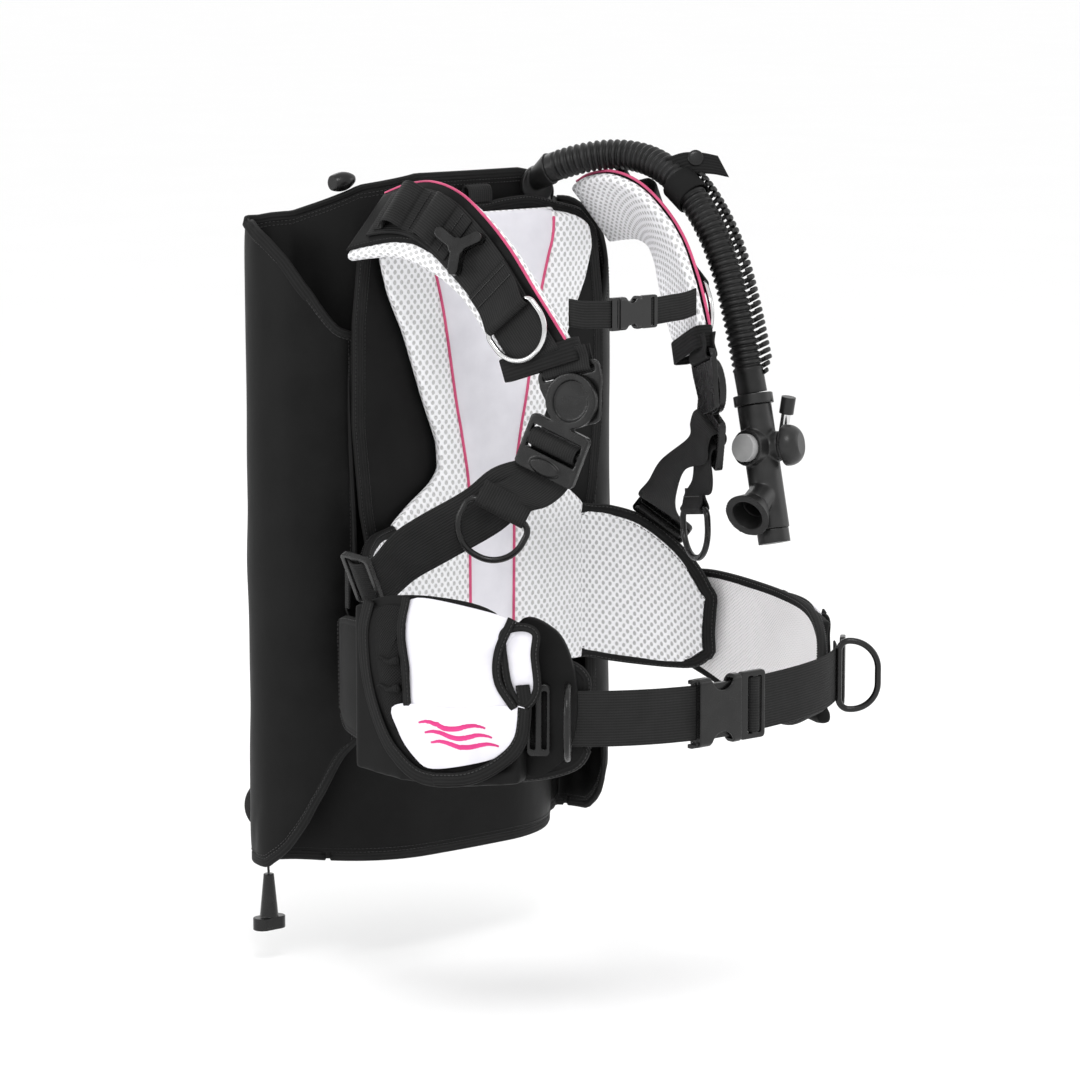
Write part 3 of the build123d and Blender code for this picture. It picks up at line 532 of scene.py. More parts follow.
class Pad:
    """A sewn pad on a grid of rows: two faces of cloth closed by a thin rim."""

    def __init__(self, rows, normals, thick, rim, seams=(), swell=9.0):
        self.rows, self.normals, self.thick, self.rim = rows, normals, thick, rim
        self.height, self.width = len(rows), len(rows[0])
        self.swell = swell
        self.seams = set(seams)

    def half(self, row, column):
        """Half the thickness at a grid point: thin at the rim, full a little way in."""
        here = self.rows[row][column]
        reach = min((here - self.rows[row][0]).length, (here - self.rows[row][-1]).length,
                    (here - self.rows[0][column]).length, (here - self.rows[-1][column]).length)
        share = 1 - exp(-reach / MM / self.swell)
        return (self.rim + (self.thick - self.rim) * share) * MM / 2

    def build(self, name, looks, body, front=None, back=None):
        """Make the object; front and back give the look's mark at a grid face."""
        batch = Batch()
        height, width = self.height, self.width
        flat = []
        for row in range(height):
            line, reach = [], 0.0
            for column in range(width):
                if column:
                    reach += (self.rows[row][column] - self.rows[row][column - 1]).length
                line.append(reach)
            middle = line[width // 2]
            rise = 0.0 if not row else flat[-1][0][1] + (
                self.rows[row][width // 2] - self.rows[row - 1][width // 2]).length
            flat.append([(value - middle, rise) for value in line])
        for sign in (1, -1):
            for row in range(height):
                for column in range(width):
                    batch.points.append(self.rows[row][column] + self.normals[row][column]
                                        * (sign * self.half(row, column)))
        layer = height * width
        for row in range(height - 1):
            for column in range(width - 1):
                first = row * width + column
                loop = (first, first + 1, first + width + 1, first + width)
                places = (flat[row][column], flat[row][column + 1],
                          flat[row + 1][column + 1], flat[row + 1][column])
                batch.face(loop, places, front(row, column) if front else 0)
                batch.face(tuple(layer + index for index in reversed(loop)),
                           tuple(reversed(places)), back(row, column) if back else 0)
        edge = ([(0, c) for c in range(width)] + [(r, width - 1) for r in range(1, height)]
                + [(height - 1, c) for c in range(width - 2, -1, -1)]
                + [(r, 0) for r in range(height - 2, 0, -1)])
        for (r0, c0), (r1, c1) in zip(edge, edge[1:] + edge[:1]):
            low, high = r0 * width + c0, r1 * width + c1
            down = (self.rim * MM, 0.0) if c0 == c1 else (0.0, self.rim * MM)
            near, far = flat[r0][c0], flat[r1][c1]
            batch.face((high, low, low + layer, high + layer),
                       (far, near, (near[0] + down[0], near[1] + down[1]),
                        (far[0] + down[0], far[1] + down[1])), 0)
        self.edge = edge
        self.pinned = [r * width + c + side * layer for side in (0, 1)
                       for r in range(height) for c in range(width)
                       if (r, c) in self.seams or r in (0, height - 1) or c in (0, width - 1)]
        return batch.build(name, looks, body)

    def outline(self, inset=0.0):
        """The rim as a closed line, moved inward by an inset in millimetres."""
        centre = self.rows[self.height // 2][self.width // 2]
        line = []
        for row, column in self.edge:
            here = self.rows[row][column]
            inner = self.rows[min(max(row, 2), self.height - 3)][
                min(max(column, 2), self.width - 3)]
            inward = inner - here if (inner - here).length > 1e-6 else centre - here
            line.append(here + inward.normalized() * inset * MM)
        return line


def dress(node_name, look):
    """Give a CAD node that stays a finished material."""
    carried = frame["nodes"][node_name]
    carried.data.materials.clear()
    carried.data.materials.append(LOOKS[look][0])


def moulded(node_name, look, voxel=0.8, rounds=4):
    """A moulded piece in a CAD node's place: its shape with the corners eased as in a mould."""
    source = frame["nodes"][node_name]
    piece = bpy.data.objects.new(node_name + "_moulded", source.data.copy())
    bpy.context.scene.collection.objects.link(piece)
    modify(piece, "REMESH", mode="VOXEL", voxel_size=voxel * MM)
    modify(piece, "SMOOTH", factor=0.5, iterations=rounds)
    piece.data.materials.clear()
    piece.data.materials.append(LOOKS[look][0])
    piece.data.polygons.foreach_set("use_smooth", [True] * len(piece.data.polygons))
    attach(piece, source["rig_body"])
    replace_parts(piece, node_name)


# ---------------------------------------------------------------- camera and studio

LAMPS = [("key", (-1.4, -1.8, 2.2), 0.9, 26.0), ("fill", (2.4, -1.8, 1.0), 1.6, 8.0),
         ("rim", (0.6, 2.4, 1.8), 1.6, 14.0), ("side", (-2.6, 0.4, 0.6), 0.7, 12.0)]


def make_studio():
    """The camera at the three-quarter front view, a pale floor and soft light."""
    scene = bpy.context.scene
    turn, rise = radians(-40.0), radians(9.0)
    back = Vector((sin(turn) * cos(rise), -cos(turn) * cos(rise), sin(rise)))
    target = mm((0, -208, 0))
    data = bpy.data.cameras.new("camera")
    data.sensor_width = 36.0
    data.lens = 142.67
    camera = bpy.data.objects.new("camera", data)
    camera.location = target + back * 4.0
    camera.rotation_euler = back.to_track_quat("Z", "Y").to_euler()
    scene.collection.objects.link(camera)
    scene.camera = camera

    floor = bpy.data.meshes.new("floor")
    floor.from_pydata([(-30, -30, -0.42), (30, -30, -0.42), (30, 30, -0.42), (-30, 30, -0.42)],
                      [], [(0, 1, 2, 3)])
    tree, shader = surface("floor", "white_fabric", 0.9)
    place = node(tree, "TexCoord").outputs["Object"]
    finish(tree, shader, ramp(tree, cloud(tree, place, 400.0), [(0.2, 0.955), (0.8, 0.97)]),
           cloud(tree, place, 3.0), 0.02)
    floor.materials.append(LOOKS["floor"][0])
    ground = bpy.data.objects.new("floor", floor)
    scene.collection.objects.link(ground)

    world = bpy.data.worlds.new("studio")
    world.use_nodes = True
    world.node_tree.nodes["Background"].inputs[0].default_value = (1, 1, 1, 1)
    world.node_tree.nodes["Background"].inputs[1].default_value = 1.03
    scene.world = world
    scene.view_settings.view_transform = "Standard"
    for name, place, size, power in LAMPS:
        lamp = bpy.data.lights.new(name, "AREA")
        lamp.shape = "DISK"
        lamp.size = size
        lamp.energy = power
        light = bpy.data.objects.new(name, lamp)
        light.location = place
        light.rotation_euler = (light.location - mm((0, -160, 0))).to_track_quat(
            "Z", "Y").to_euler()
        scene.collection.objects.link(light)


# ---------------------------------------------------------------- cords: hose and dump cord

HOSE_ROUTE = [(82, -126, 339), (92, -149, 348), (113, -175, 354), (128, -205, 352),
              (132, -238, 341), (134, -269, 319), (135, -295, 289), (136, -314, 255),
              (137, -327, 218), (139, -337, 180), (141, -346, 140)]
HOSE_DIAMETER = 29.0
RIB_PITCH = 6.2
RIB_DEPTH = 3.0
HOSE_COLLAR = 17.0          # the plain cuff at the hose's ends
CLIPS_START = 0.37          # the share of the ribs before the first clip
DUMP_ROUTE = [(-160, 2, -285.5), (-162, 4, -297), (-164.5, 3, -308.5), (-166, 0, -320),
              (-166.5, -2, -331)]
DUMP_DIAMETER = 2.6
# The moulded guide that the cord leaves the lower dump valve by.
DUMP_GUIDE = [(-165, -9, -271), (-161.5, -1.5, -273), (-159.6, 1.6, -278.5), (-160, 2, -285.5),
              (-160.5, 2.5, -290)]


def route_line(route, count):
    """Points evenly spaced on the smooth line that a cord's route controls."""
    curve = bpy.data.curves.new("route", "CURVE")
    curve.dimensions = "3D"
    spline = curve.splines.new("NURBS")
    spline.points.add(len(route) - 1)
    for control, place in zip(spline.points, route):
        control.co = (*mm(place), 1)
    spline.order_u = 3
    spline.use_endpoint_u = True
    spline.resolution_u = 24
    holder = bpy.data.objects.new("route", curve)
    bpy.context.scene.collection.objects.link(holder)
    line = bpy.data.meshes.new_from_object(holder)
    points = [vertex.co.copy() for vertex in line.vertices]
    bpy.data.objects.remove(holder)
    bpy.data.meshes.remove(line)
    bpy.data.curves.remove(curve)
    return evenly(points, count)


def make_hose():
    """The corrugated hose, with the row of open clips moulded along its outer side."""
    line = route_line(HOSE_ROUTE, 460)
    total = length_of(line)

    def section(index):
        reach = total * index / (len(line) - 1)
        if reach < HOSE_COLLAR * 0.5 * MM or reach > total - HOSE_COLLAR * 1.3 * MM:
            return round_section(HOSE_DIAMETER - 1.2, 30)
        wave = 0.5 + 0.5 * cos(2 * pi * reach / (RIB_PITCH * MM))
        return round_section(HOSE_DIAMETER - 2 * RIB_DEPTH * (1 - wave ** 0.5), 30)

    batch = Batch()
    batch.skin(tube_rings(line, section))
    hose = batch.build("corrugated_hose_ribbed", ["hose_rubber"], "root")
    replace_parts(hose, "corrugated_hose")
    clips = Batch()
    outward = Vector((0.74, -0.66, 0.12))
    ribs = int(total / (RIB_PITCH * MM))
    for rib in range(int(ribs * CLIPS_START), ribs - 1):
        index = round(rib * RIB_PITCH * MM / total * (len(line) - 1))
        centre, ahead = line[index], directions(line, index)
        out = (outward - ahead * outward.dot(ahead)).normalized()
        sideways = ahead.cross(out)
        tip = min(1.0, (rib - ribs * CLIPS_START) / 3, (ribs - rib) / 4)
        hub = centre + out * (12.0 + 4.2 * tip) * MM
        arc = [radians(-160 + 245 * step / 9) for step in range(10)]
        path = [hub + (out * cos(turn) + sideways * sin(turn)) * 6.4 * tip * MM
                - ahead * (0.8 + 1.6 * cos(turn)) * MM for turn in arc]
        clips.skin(rings_along(path, [ahead] * 10, band(4.5, 2.8, 2)))
    row = clips.build("corrugated_hose_clips", ["hose_rubber"], "root")


def make_dump_cord():
    """The lower dump valve's cord down to its toggle, and its guide."""
    guide = Batch()
    guide.skin(tube_rings(trace([mm(place) for place in DUMP_GUIDE], 24),
                          lambda step: round_section(8.4 - 0.14 * step, 16)))
    guide.build("lower_dump_cord_guide", ["moulded_black"], "root")
    line = route_line(DUMP_ROUTE, 60)

    def section(index):
        twist = index * 0.55
        return [(cos(2 * pi * step / 12) * size, sin(2 * pi * step / 12) * size)
                for step in range(12)
                for size in [(DUMP_DIAMETER / 2 - 0.12 + 0.12 * cos(3 * (pi * step / 6 + twist)))
                             * MM]]

    batch = Batch()
    batch.skin(tube_rings(line, section))
    rope = batch.build("lower_dump_cord_braided", ["cord"], None)
    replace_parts(rope, "lower_dump_cord")
    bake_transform(rope)


# ---------------------------------------------------------------- air cell

CELL_BOTTOM = -312.0
CELL_ROWS = 52              # grid rows from the hem to the top
CALM_SPAN = 22              # grid columns each side of the middle that stay flat on the backplate
FLAP_PLAN = [(142, -112), (164, -106), (186, -86), (199, -52), (198, -28), (188, -10)]
CELL_PLAN = [(172, -22), (155, -34), (134, -60), (112, -80), (88, -93), (62, -100), (30, -101.5)]
CELL_PROFILE = [(0, 338), (62, 338), (112, 329), (155, 304), (196, 300)]
FLAP_TOP = [(0, 300), (-20, 300), (-50, 285), (-72, 266), (-92, 236), (-106, 205), (-120, 182)]
FLAP_LOW = [(0, -312), (-44, -312), (-66, -296), (-84, -270), (-98, -235), (-110, -195),
            (-120, -160)]


def make_air_cell():
    """The bladder: one puffed sheet from flap edge to flap edge round the cylinder."""
    half = [Vector((x, y, 1)) for x, y in FLAP_PLAN] + [Vector((x, y, 0)) for x, y in CELL_PLAN]
    plan = ([Vector((-v.x, v.y, v.z)) for v in half] + [Vector((0, -102, 0))] + half[::-1])
    across = trace(plan, (len(plan) - 1) * 4)
    height = CELL_ROWS
    rows, normals = [], []
    for row in range(height + 1):
        share = row / height
        line, facing = [], []
        for index, spot in enumerate(across):
            flap = smoothstep(spot.z * 2)
            low = CELL_BOTTOM * (1 - flap) + between(FLAP_LOW, spot.y) * flap
            high = (between(CELL_PROFILE, abs(spot.x)) * (1 - flap)
                    + between(FLAP_TOP, spot.y) * flap)
            ahead = (across[min(index + 1, len(across) - 1)] - across[max(index - 1, 0)])
            normal = Vector((ahead.y, -ahead.x, 0)).normalized()
            here = Vector((spot.x, spot.y, low + (high - low) * share)) * MM
            loose = smoothstep(abs(spot.x) / 60 - 1.6) * 2.2 * sin(pi * min(share * 1.2, 1))
            here += normal * MM * loose * crease(here, 0.07, 3.0)
            line.append(here)
            facing.append(normal)
        rows.append(line)
        normals.append(facing)
    middle = len(across) // 2
    calm = [(row, column) for row in range(height + 1)
            for column in range(middle - CALM_SPAN, middle + CALM_SPAN + 1)]
    pad = Pad(rows, normals, 7.5, 2.6, calm, swell=10.0)
    cell = pad.build("air_cell_bladder", ["cell_nylon"], "root")
    puff(cell, pad.pinned, pressure=3.0, cap=5.0)
    subdivide(cell)
    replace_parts(cell, "air_cell")
    make_cell_trim(cell, pad)


def snapped(tree, line, lift=0.3):
    """A line laid on a mesh, with the outward direction at each of its points."""
    places, normals = [], []
    for place in line:
        found, normal, _, _ = tree.find_nearest(place)
        places.append(found + normal * lift * MM)
        normals.append(normal)
    return places, normals


def grid_line(pad, points, sign):
    """A line through (row, column) places of a pad's grid, on one of its faces."""
    line = []
    for row, column in points:
        r, c = int(row), int(column)
        down, over = row - r, column - c
        r1, c1 = min(r + 1, pad.height - 1), min(c + 1, pad.width - 1)
        spot = (pad.rows[r][c].lerp(pad.rows[r][c1], over)
                .lerp(pad.rows[r1][c].lerp(pad.rows[r1][c1], over), down))
        line.append(spot + pad.normals[r][c] * sign * pad.thick * MM / 2)
    return line


def make_cell_trim(cell, pad):
    """Bound hem and the double row of stitching inside the bladder's edge."""
    tree = BVHTree.FromObject(cell, bpy.context.evaluated_depsgraph_get())
    batch = Batch()
    edge = pad.outline(4.5)
    dense = round_loop(edge, 420)
    inward = beside(dense, round_loop([pad.normals[r][c] for r, c in pad.edge], 420))
    batch.skin(rings_along(dense, inward, band(12.0, 4.8, 3), closed=True), closed=True)
    batch.build("air_cell_hem", ["tape"], "root")
    threads = Batch()
    last_row, last_column = pad.height - 1, pad.width - 1
    for inset in (1.0, 1.45):
        row_low, row_high = inset * 0.62, last_row - inset * 0.62
        loop = ([(row_low, c) for c in range(2, last_column - 1)]
                + [(r, last_column - inset) for r in range(1, last_row)]
                + [(row_high, c) for c in range(last_column - 2, 1, -1)]
                + [(r, inset) for r in range(last_row - 1, 0, -1)])
        for sign in (1, -1):
            line, normals = snapped(tree, grid_line(pad, loop, sign))
            dashes(threads, line, normals)
    threads.build("air_cell_stitching", ["black_thread"], "root")


# ---------------------------------------------------------------- back pad and backing

BACKING_HALF = [(309, 56), (299, 120), (276, 143), (205, 151), (110, 152), (30, 144), (-24, 133),
                (-46, 133), (-60, 120), (-138, 118)]
PAD_HALF = [(303, 57), (296, 105), (284, 124), (264, 128), (232, 119), (194, 101), (132, 79),
            (90, 62), (64, 60), (50, 71), (38, 90), (24, 108), (15, 118), (-136, 118)]
PIPING_HALF = [(303, 79), (294, 78), (274, 75), (252, 68), (208, 57), (128, 43), (95, 36), (45, 28),
               (-20, 27), (-136, 26)]
BACKING_MID = -120.2
PAD_MID = -131.6


def flat_rows(profile, depth, steps, columns, lines=()):
    """Grid rows for a flat pad in the XZ plane from its (height, half width) profile."""
    top, bottom = profile[0][0], profile[-1][0]
    rows = []
    for step in range(steps + 1):
        z = bottom + (top - bottom) * step / steps
        half = between(profile, z)
        marks = [-half, *[-between(line, z) for line in lines],
                 *[between(line, z) for line in reversed(lines)], half]
        row = []
        for (start, end), count in zip(zip(marks, marks[1:]), columns):
            row += [mm((start + (end - start) * part / count, depth, z))
                    for part in range(count)]
        rows.append(row + [mm((half, depth, z))])
    return rows


def make_back_pad():
    """The backing, its bound edge, and the puffed mesh pad with its piped centre panel."""
    facing = Vector((0, -1, 0))
    rows = flat_rows(BACKING_HALF, BACKING_MID, 56, [34])
    backing = Pad(rows, [[facing] * len(row) for row in rows], 5.0, 3.4)
    sheet = backing.build("pad_backing_cloth", ["black_nylon"], "root")
    for vertex in sheet.data.vertices:
        vertex.co.y += 0.7 * MM * crease(vertex.co, 0.05, 8.0)
    subdivide(sheet)
    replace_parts(sheet, "pad_backing")
    edge = round_loop(backing.outline(TAPE_WIDE / 2 - 1), 300)
    tape = Batch()
    inward = beside(edge, [facing] * len(edge))
    tape.skin(rings_along(edge, inward, band(TAPE_WIDE, 5.6, 5), closed=True), closed=True)
    for shift in (-5.4, 5.2):
        row = [place + side.normalized() * shift * MM + facing * 2.95 * MM
               for place, side in zip(edge, inward)]
        dashes(tape, row, [facing] * len(row), 1)
    tape.build("pad_backing_binding", ["tape", "black_thread"], "root")

    flank, panel = 14, 12       # grid columns beside the centre panel and across it
    rows = flat_rows(PAD_HALF, PAD_MID, 70, [flank, panel, flank], [PIPING_HALF])
    seams = [(row, column) for row in range(len(rows)) for column in (flank, flank + panel)]
    pad = Pad(rows, [[facing] * len(row) for row in rows], 14.0, 7.0, seams, swell=12.0)
    cushion = pad.build("back_pad_cushion", ["white_mesh", "white_fabric"], "root",
                        front=lambda row, column: int(flank <= column < flank + panel))
    puff(cushion, pad.pinned, pressure=5.0, cap=5.0)
    for vertex in cushion.data.vertices:
        near = min(abs(abs(vertex.co.x) / MM - between(PIPING_HALF, vertex.co.z / MM)), 60)
        if vertex.co.y < mm((0, PAD_MID, 0)).y:
            vertex.co.y += 2.2 * MM * exp(-near / 5)
    subdivide(cushion)
    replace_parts(cushion, "back_pad")
    tree = BVHTree.FromObject(cushion, bpy.context.evaluated_depsgraph_get())
    piping = Batch()
    for side in SIDES.values():
        line = [mm((side * half, -150, z)) for z, half in PIPING_HALF[1:]]
        line = evenly(trace(line, 120), 150)
        laid = []
        for place in line:
            found = tree.ray_cast(place, Vector((0, 1, 0)))[0]
            laid.append((found or place) + facing * 0.4 * MM)
        piping.skin(tube_rings(laid, round_section(PIPING)))
    piping.build("back_pad_piping", ["pink"], "root")


# ---------------------------------------------------------------- curved pads

WING_PLAN = [(108, -132, -135, 16), (123, -133, -135, 13), (145, -143, -140, 10),
             (168, -161, -144, 0), (188, -185, -146, -23), (200, -205, -144, -48),
             (208, -221, -130, -78)]
HIP_PATH = [(204, -172), (217, -196), (224, -220), (228, -260), (222, -310), (203, -362),
            (176, -404), (151, -432), (141, -441)]
HIP_HEIGHTS = {"right": [(-140, -56), (-152, -50), (-156, -48), (-162, -46), (-168, -48),
                         (-174, -54), (-172, -60), (-162, -66), (-144, -82)],
               "left": [(-140, -56), (-154, -53), (-166, -54), (-184, -58), (-188, -62),
                        (-170, -67), (-154, -80), (-138, -98), (-130, -108)]}


def upright_pad(plan, side, steps, columns):
    """Grid rows and inward normals of an upright curved pad, from (x, y, low, high) stations."""
    stations = trace([Vector((x, y, 0)) for x, y, _, _ in plan], steps)
    lows = trace([Vector((low, high, 0)) for _, _, low, high in plan], steps)
    rows, normals = [], []
    for index, (spot, span) in enumerate(zip(stations, lows)):
        ahead = stations[min(index + 1, steps)] - stations[max(index - 1, 0)]
        normal = Vector((side * -ahead.y, ahead.x, 0)).normalized()
        rows.append([mm((spot.x, spot.y, span.x + (span.y - span.x) * step / columns), side)
                     for step in range(columns + 1)])
        normals.append([-normal] * (columns + 1))
    return rows, normals


def bound_edge(name, pad, width, thick, keep=None):
    """Binding tape folded over a pad's rim, all round or over a kept part of it."""
    middle = width / 2 - 1.5
    line, rim = pad.outline(middle), [pad.normals[r][c] for r, c in pad.edge]
    if keep:
        chosen = [index for index, cell in enumerate(pad.edge) if keep(*cell)]
        gap = next((i for i in range(1, len(chosen)) if chosen[i] != chosen[i - 1] + 1), 0)
        chosen = chosen[gap:] + chosen[:gap]
        line, rim = [line[i] for i in chosen], [rim[i] for i in chosen]
    else:
        line, rim = line + line[:1], rim + rim[:1]
    count = int(length_of(line) / (4 * MM))
    line, rim = evenly(line, count), evenly(rim, count)
    if not keep:
        line, rim = line[:-1], rim[:-1]
    inward = []
    for index in range(len(line)):
        ahead = (line[(index + 1) % len(line)] - line[index - 1] if not keep
                 else directions(line, index))
        inward.append(rim[index].cross(ahead).normalized())
    batch = Batch()
    batch.skin(rings_along(line, inward, band(width, thick, 5), closed=not keep),
               closed=not keep)
    for shift in (-width / 2 + 2.2, width / 2 - 2.2):
        for sign in (1, -1):
            row = [place + side * shift * MM + normal.normalized() * sign * (thick / 2 + 0.1) * MM
                   for place, side, normal in zip(line, inward, rim)]
            dashes(batch, row, [normal * sign for normal in rim], 1)
    batch.build(name, ["tape", "black_thread"], "root")


def make_waist_pads():
    """The lumbar wings and the hip pads, white mesh inside and black cloth outside."""
    for name, side in SIDES.items():
        last, top = 22, 24      # the wing grid's outer row and upper column
        rows, normals = upright_pad(WING_PLAN, side, last, top)
        wing = Pad(rows, normals, 12.5, 6.0)
        made = wing.build(f"lumbar_wing_{name}_pad", ["wing_mesh", "black_nylon"], "root",
                          back=lambda row, column: 1)
        puff(made, wing.pinned, pressure=4.0, cap=3.0)
        subdivide(made)
        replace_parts(made, f"lumbar_wing_{name}")
        bound_edge(f"lumbar_wing_{name}_binding", wing, 14.0, 9.0,
                   keep=lambda row, column: row > 0 and (column in (0, top) or row == last))
        plan = [(x, y, low, high)
                for (x, y), (low, high) in zip(HIP_PATH, HIP_HEIGHTS[name])]
        rows, normals = upright_pad(plan, side, 48, 18)
        hip = Pad(rows, normals, 12.5, 5.5)
        made = hip.build(f"hip_pad_{name}_pad", ["fine_mesh", "black_nylon"], "root",
                         back=lambda row, column: 1)
        puff(made, hip.pinned, pressure=4.0, cap=3.0)
        subdivide(made)
        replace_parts(made, f"hip_pad_{name}")
        bound_edge(f"hip_pad_{name}_binding", hip, 14.0, 8.6)


# ---------------------------------------------------------------- weight pockets

POCKET_PATHS = {"right": [(282, -294), (250, -262), (243, -315), (223, -371), (194, -417),
                          (162, -468)],
                "left": [(243, -206), (243, -236), (244, -271), (238, -314), (229, -342),
                         (219, -367), (209, -397)]}
POCKET_FACE = {"right": 13.0, "left": 7.0}      # from the pocket's middle to its outer face
# The left pocket repeats the right one's outlines from one corner, smaller and lower.
NEAR_CORNER = (14, -12)
FAR_SCALE = (0.68, 0.69)
FAR_TOP = -70
# Outlines on the right pocket's outer face: millimetres forward along it, and height.
LOOP = [(23, -18), (14, -49), (21, -95), (42, -138), (66, -163), (90, -170), (125, -165),
        (154, -148), (170, -129), (174, -99), (172, -80)]
SIDE_PANEL = [(31, -25), (28, -55), (34, -97), (46, -127), (57, -119), (58, -73), (58, -42),
              (62, -20)]
FLAP = [(74, -10), (163, -25), (150, -55), (152, -78), (165, -99), (160, -114), (118, -116),
        (69, -114), (67, -74), (63, -41)]
POUCH_PANEL = [(54, -107), (112, -104), (173, -99), (170, -123), (154, -142), (125, -153),
               (90, -160), (74, -152), (58, -132)]
OPENING = [(154, -36), (171, -29), (184, -34), (183, -53), (185, -84), (172, -100),
           (160, -84), (155, -62)]
HIP_END = [(160, -30), (192, -36), (208, -66), (212, -104), (207, -136), (192, -158),
           (166, -164), (156, -100)]


class PocketFace:
    """The outer face of a weight pocket, laid out as (forward, height) in millimetres."""

    def __init__(self, name):
        self.side = SIDES[name]
        self.path = [Vector((x, y, 0)) for x, y in POCKET_PATHS[name]]
        self.out = POCKET_FACE[name]
        fine = trace(self.path, 400)
        start = min(range(401), key=lambda i: (fine[i] - self.path[1]).length)
        reach = [0.0]
        for here, there in zip(fine, fine[1:]):
            reach.append(reach[-1] + (there - here).length)
        self.table = [(value - reach[start], len(self.path[1:]) * step / 400)
                      for step, value in enumerate(reach)]
        self.shrunk = name == "left"

    def spot(self, forward, height, lift=0.0):
        """A place on the face and its outward direction, in metres on its own side."""
        if self.shrunk:
            forward = (forward - NEAR_CORNER[0]) * FAR_SCALE[0]
            height = FAR_TOP + (height - NEAR_CORNER[1]) * FAR_SCALE[1]
        t = between(self.table, forward)
        here, ahead = along(self.path, t), along(self.path, t + 0.02) - along(self.path, t)
        outward = Vector((-ahead.y, ahead.x, 0)).normalized()
        place = here + outward * (self.out + lift)
        return (mm((place.x, place.y, height), self.side),
                Vector((self.side * outward.x, outward.y, 0)))


def smooth_loop(outline, count=72):
    """An outline's corners joined by a rounded closed line of (forward, height) pairs."""
    loop = [Vector((x, y, 0)) for x, y in outline]
    rounded = trace(loop[-2:] + loop + loop[:2], 24 * (len(loop) + 3))[48:-25]
    return [(place.x, place.y) for place in round_loop(rounded, count)]


def dome(face, outline, lift, crown, batch, mark=0, foot=3.0, rings=10):
    """A soft panel standing on a pocket's face, fullest in the middle, with a turned edge."""
    loop = smooth_loop(outline)
    count = len(loop)
    centre = (sum(x for x, _ in loop) / count, sum(y for _, y in loop) / count)
    start = len(batch.points)
    shares = [1.0] + [cos(pi / 2 * ring / rings) for ring in range(rings)]
    for ring, share in enumerate(shares):
        for x, y in loop:
            across, height = centre[0] + (x - centre[0]) * share, centre[1] + (
                y - centre[1]) * share
            rise = lift - foot if ring == 0 else lift + crown * (1 - share ** 2)
            place, outward = face.spot(across, height, rise)
            if ring > 1:
                place += outward * 0.7 * MM * crease(place, 0.016, 4.0 + mark) * (1 - share)
            batch.points.append(place)
    batch.points.append(face.spot(*centre, lift + crown)[0])

    def flat(index):
        ring, step = divmod(index, count)
        share = shares[ring] if ring < len(shares) else 0.0
        x, y = loop[step] if ring < len(shares) else centre
        return ((centre[0] + (x - centre[0]) * share) * MM,
                (centre[1] + (y - centre[1]) * share + (foot if ring == 0 else 0)) * MM)

    for ring in range(len(shares) - 1):
        for step in range(count):
            after = (step + 1) % count
            corners = (ring * count + step, ring * count + after,
                       (ring + 1) * count + after, (ring + 1) * count + step)
            batch.face(tuple(start + i for i in corners), tuple(flat(i) for i in corners), mark)
    last, tip = (len(shares) - 1) * count, len(shares) * count
    for step in range(count):
        corners = (last + step, last + (step + 1) % count, tip)
        batch.face(tuple(start + i for i in corners), tuple(flat(i) for i in corners), mark)
    batch.face(tuple(start + i for i in range(count - 1, -1, -1)),
               tuple(flat(i) for i in range(count - 1, -1, -1)), mark)


def face_tape(face, points, width, lift, batch, mark=0, closed=False, thick=2.6, stitched=None):
    """Tape laid on a pocket's face along (forward, height) points, with a row of stitches."""
    if closed:
        line = smooth_loop(points, 120)
    else:
        line = [(v.x, v.y) for v in evenly(trace([Vector((x, y, 0)) for x, y in points], 90), 80)]
    spots = [face.spot(x, y, lift) for x, y in line]
    path, outs = [place for place, _ in spots], [out for _, out in spots]
    count = len(path)
    acrosses = []
    for index in range(count):
        ahead = (path[(index + 1) % count] - path[index - 1] if closed
                 else directions(path, index))
        acrosses.append(outs[index].cross(ahead).normalized())
    batch.skin(rings_along(path, acrosses, band(width, thick, 4), closed), mark, closed)
    if stitched is not None:
        row = [place + out * (thick / 2 + 0.1) * MM + way * (width / 2 - 2) * MM
               for place, out, way in zip(path, outs, acrosses)]
        dashes(batch, row, outs, stitched)


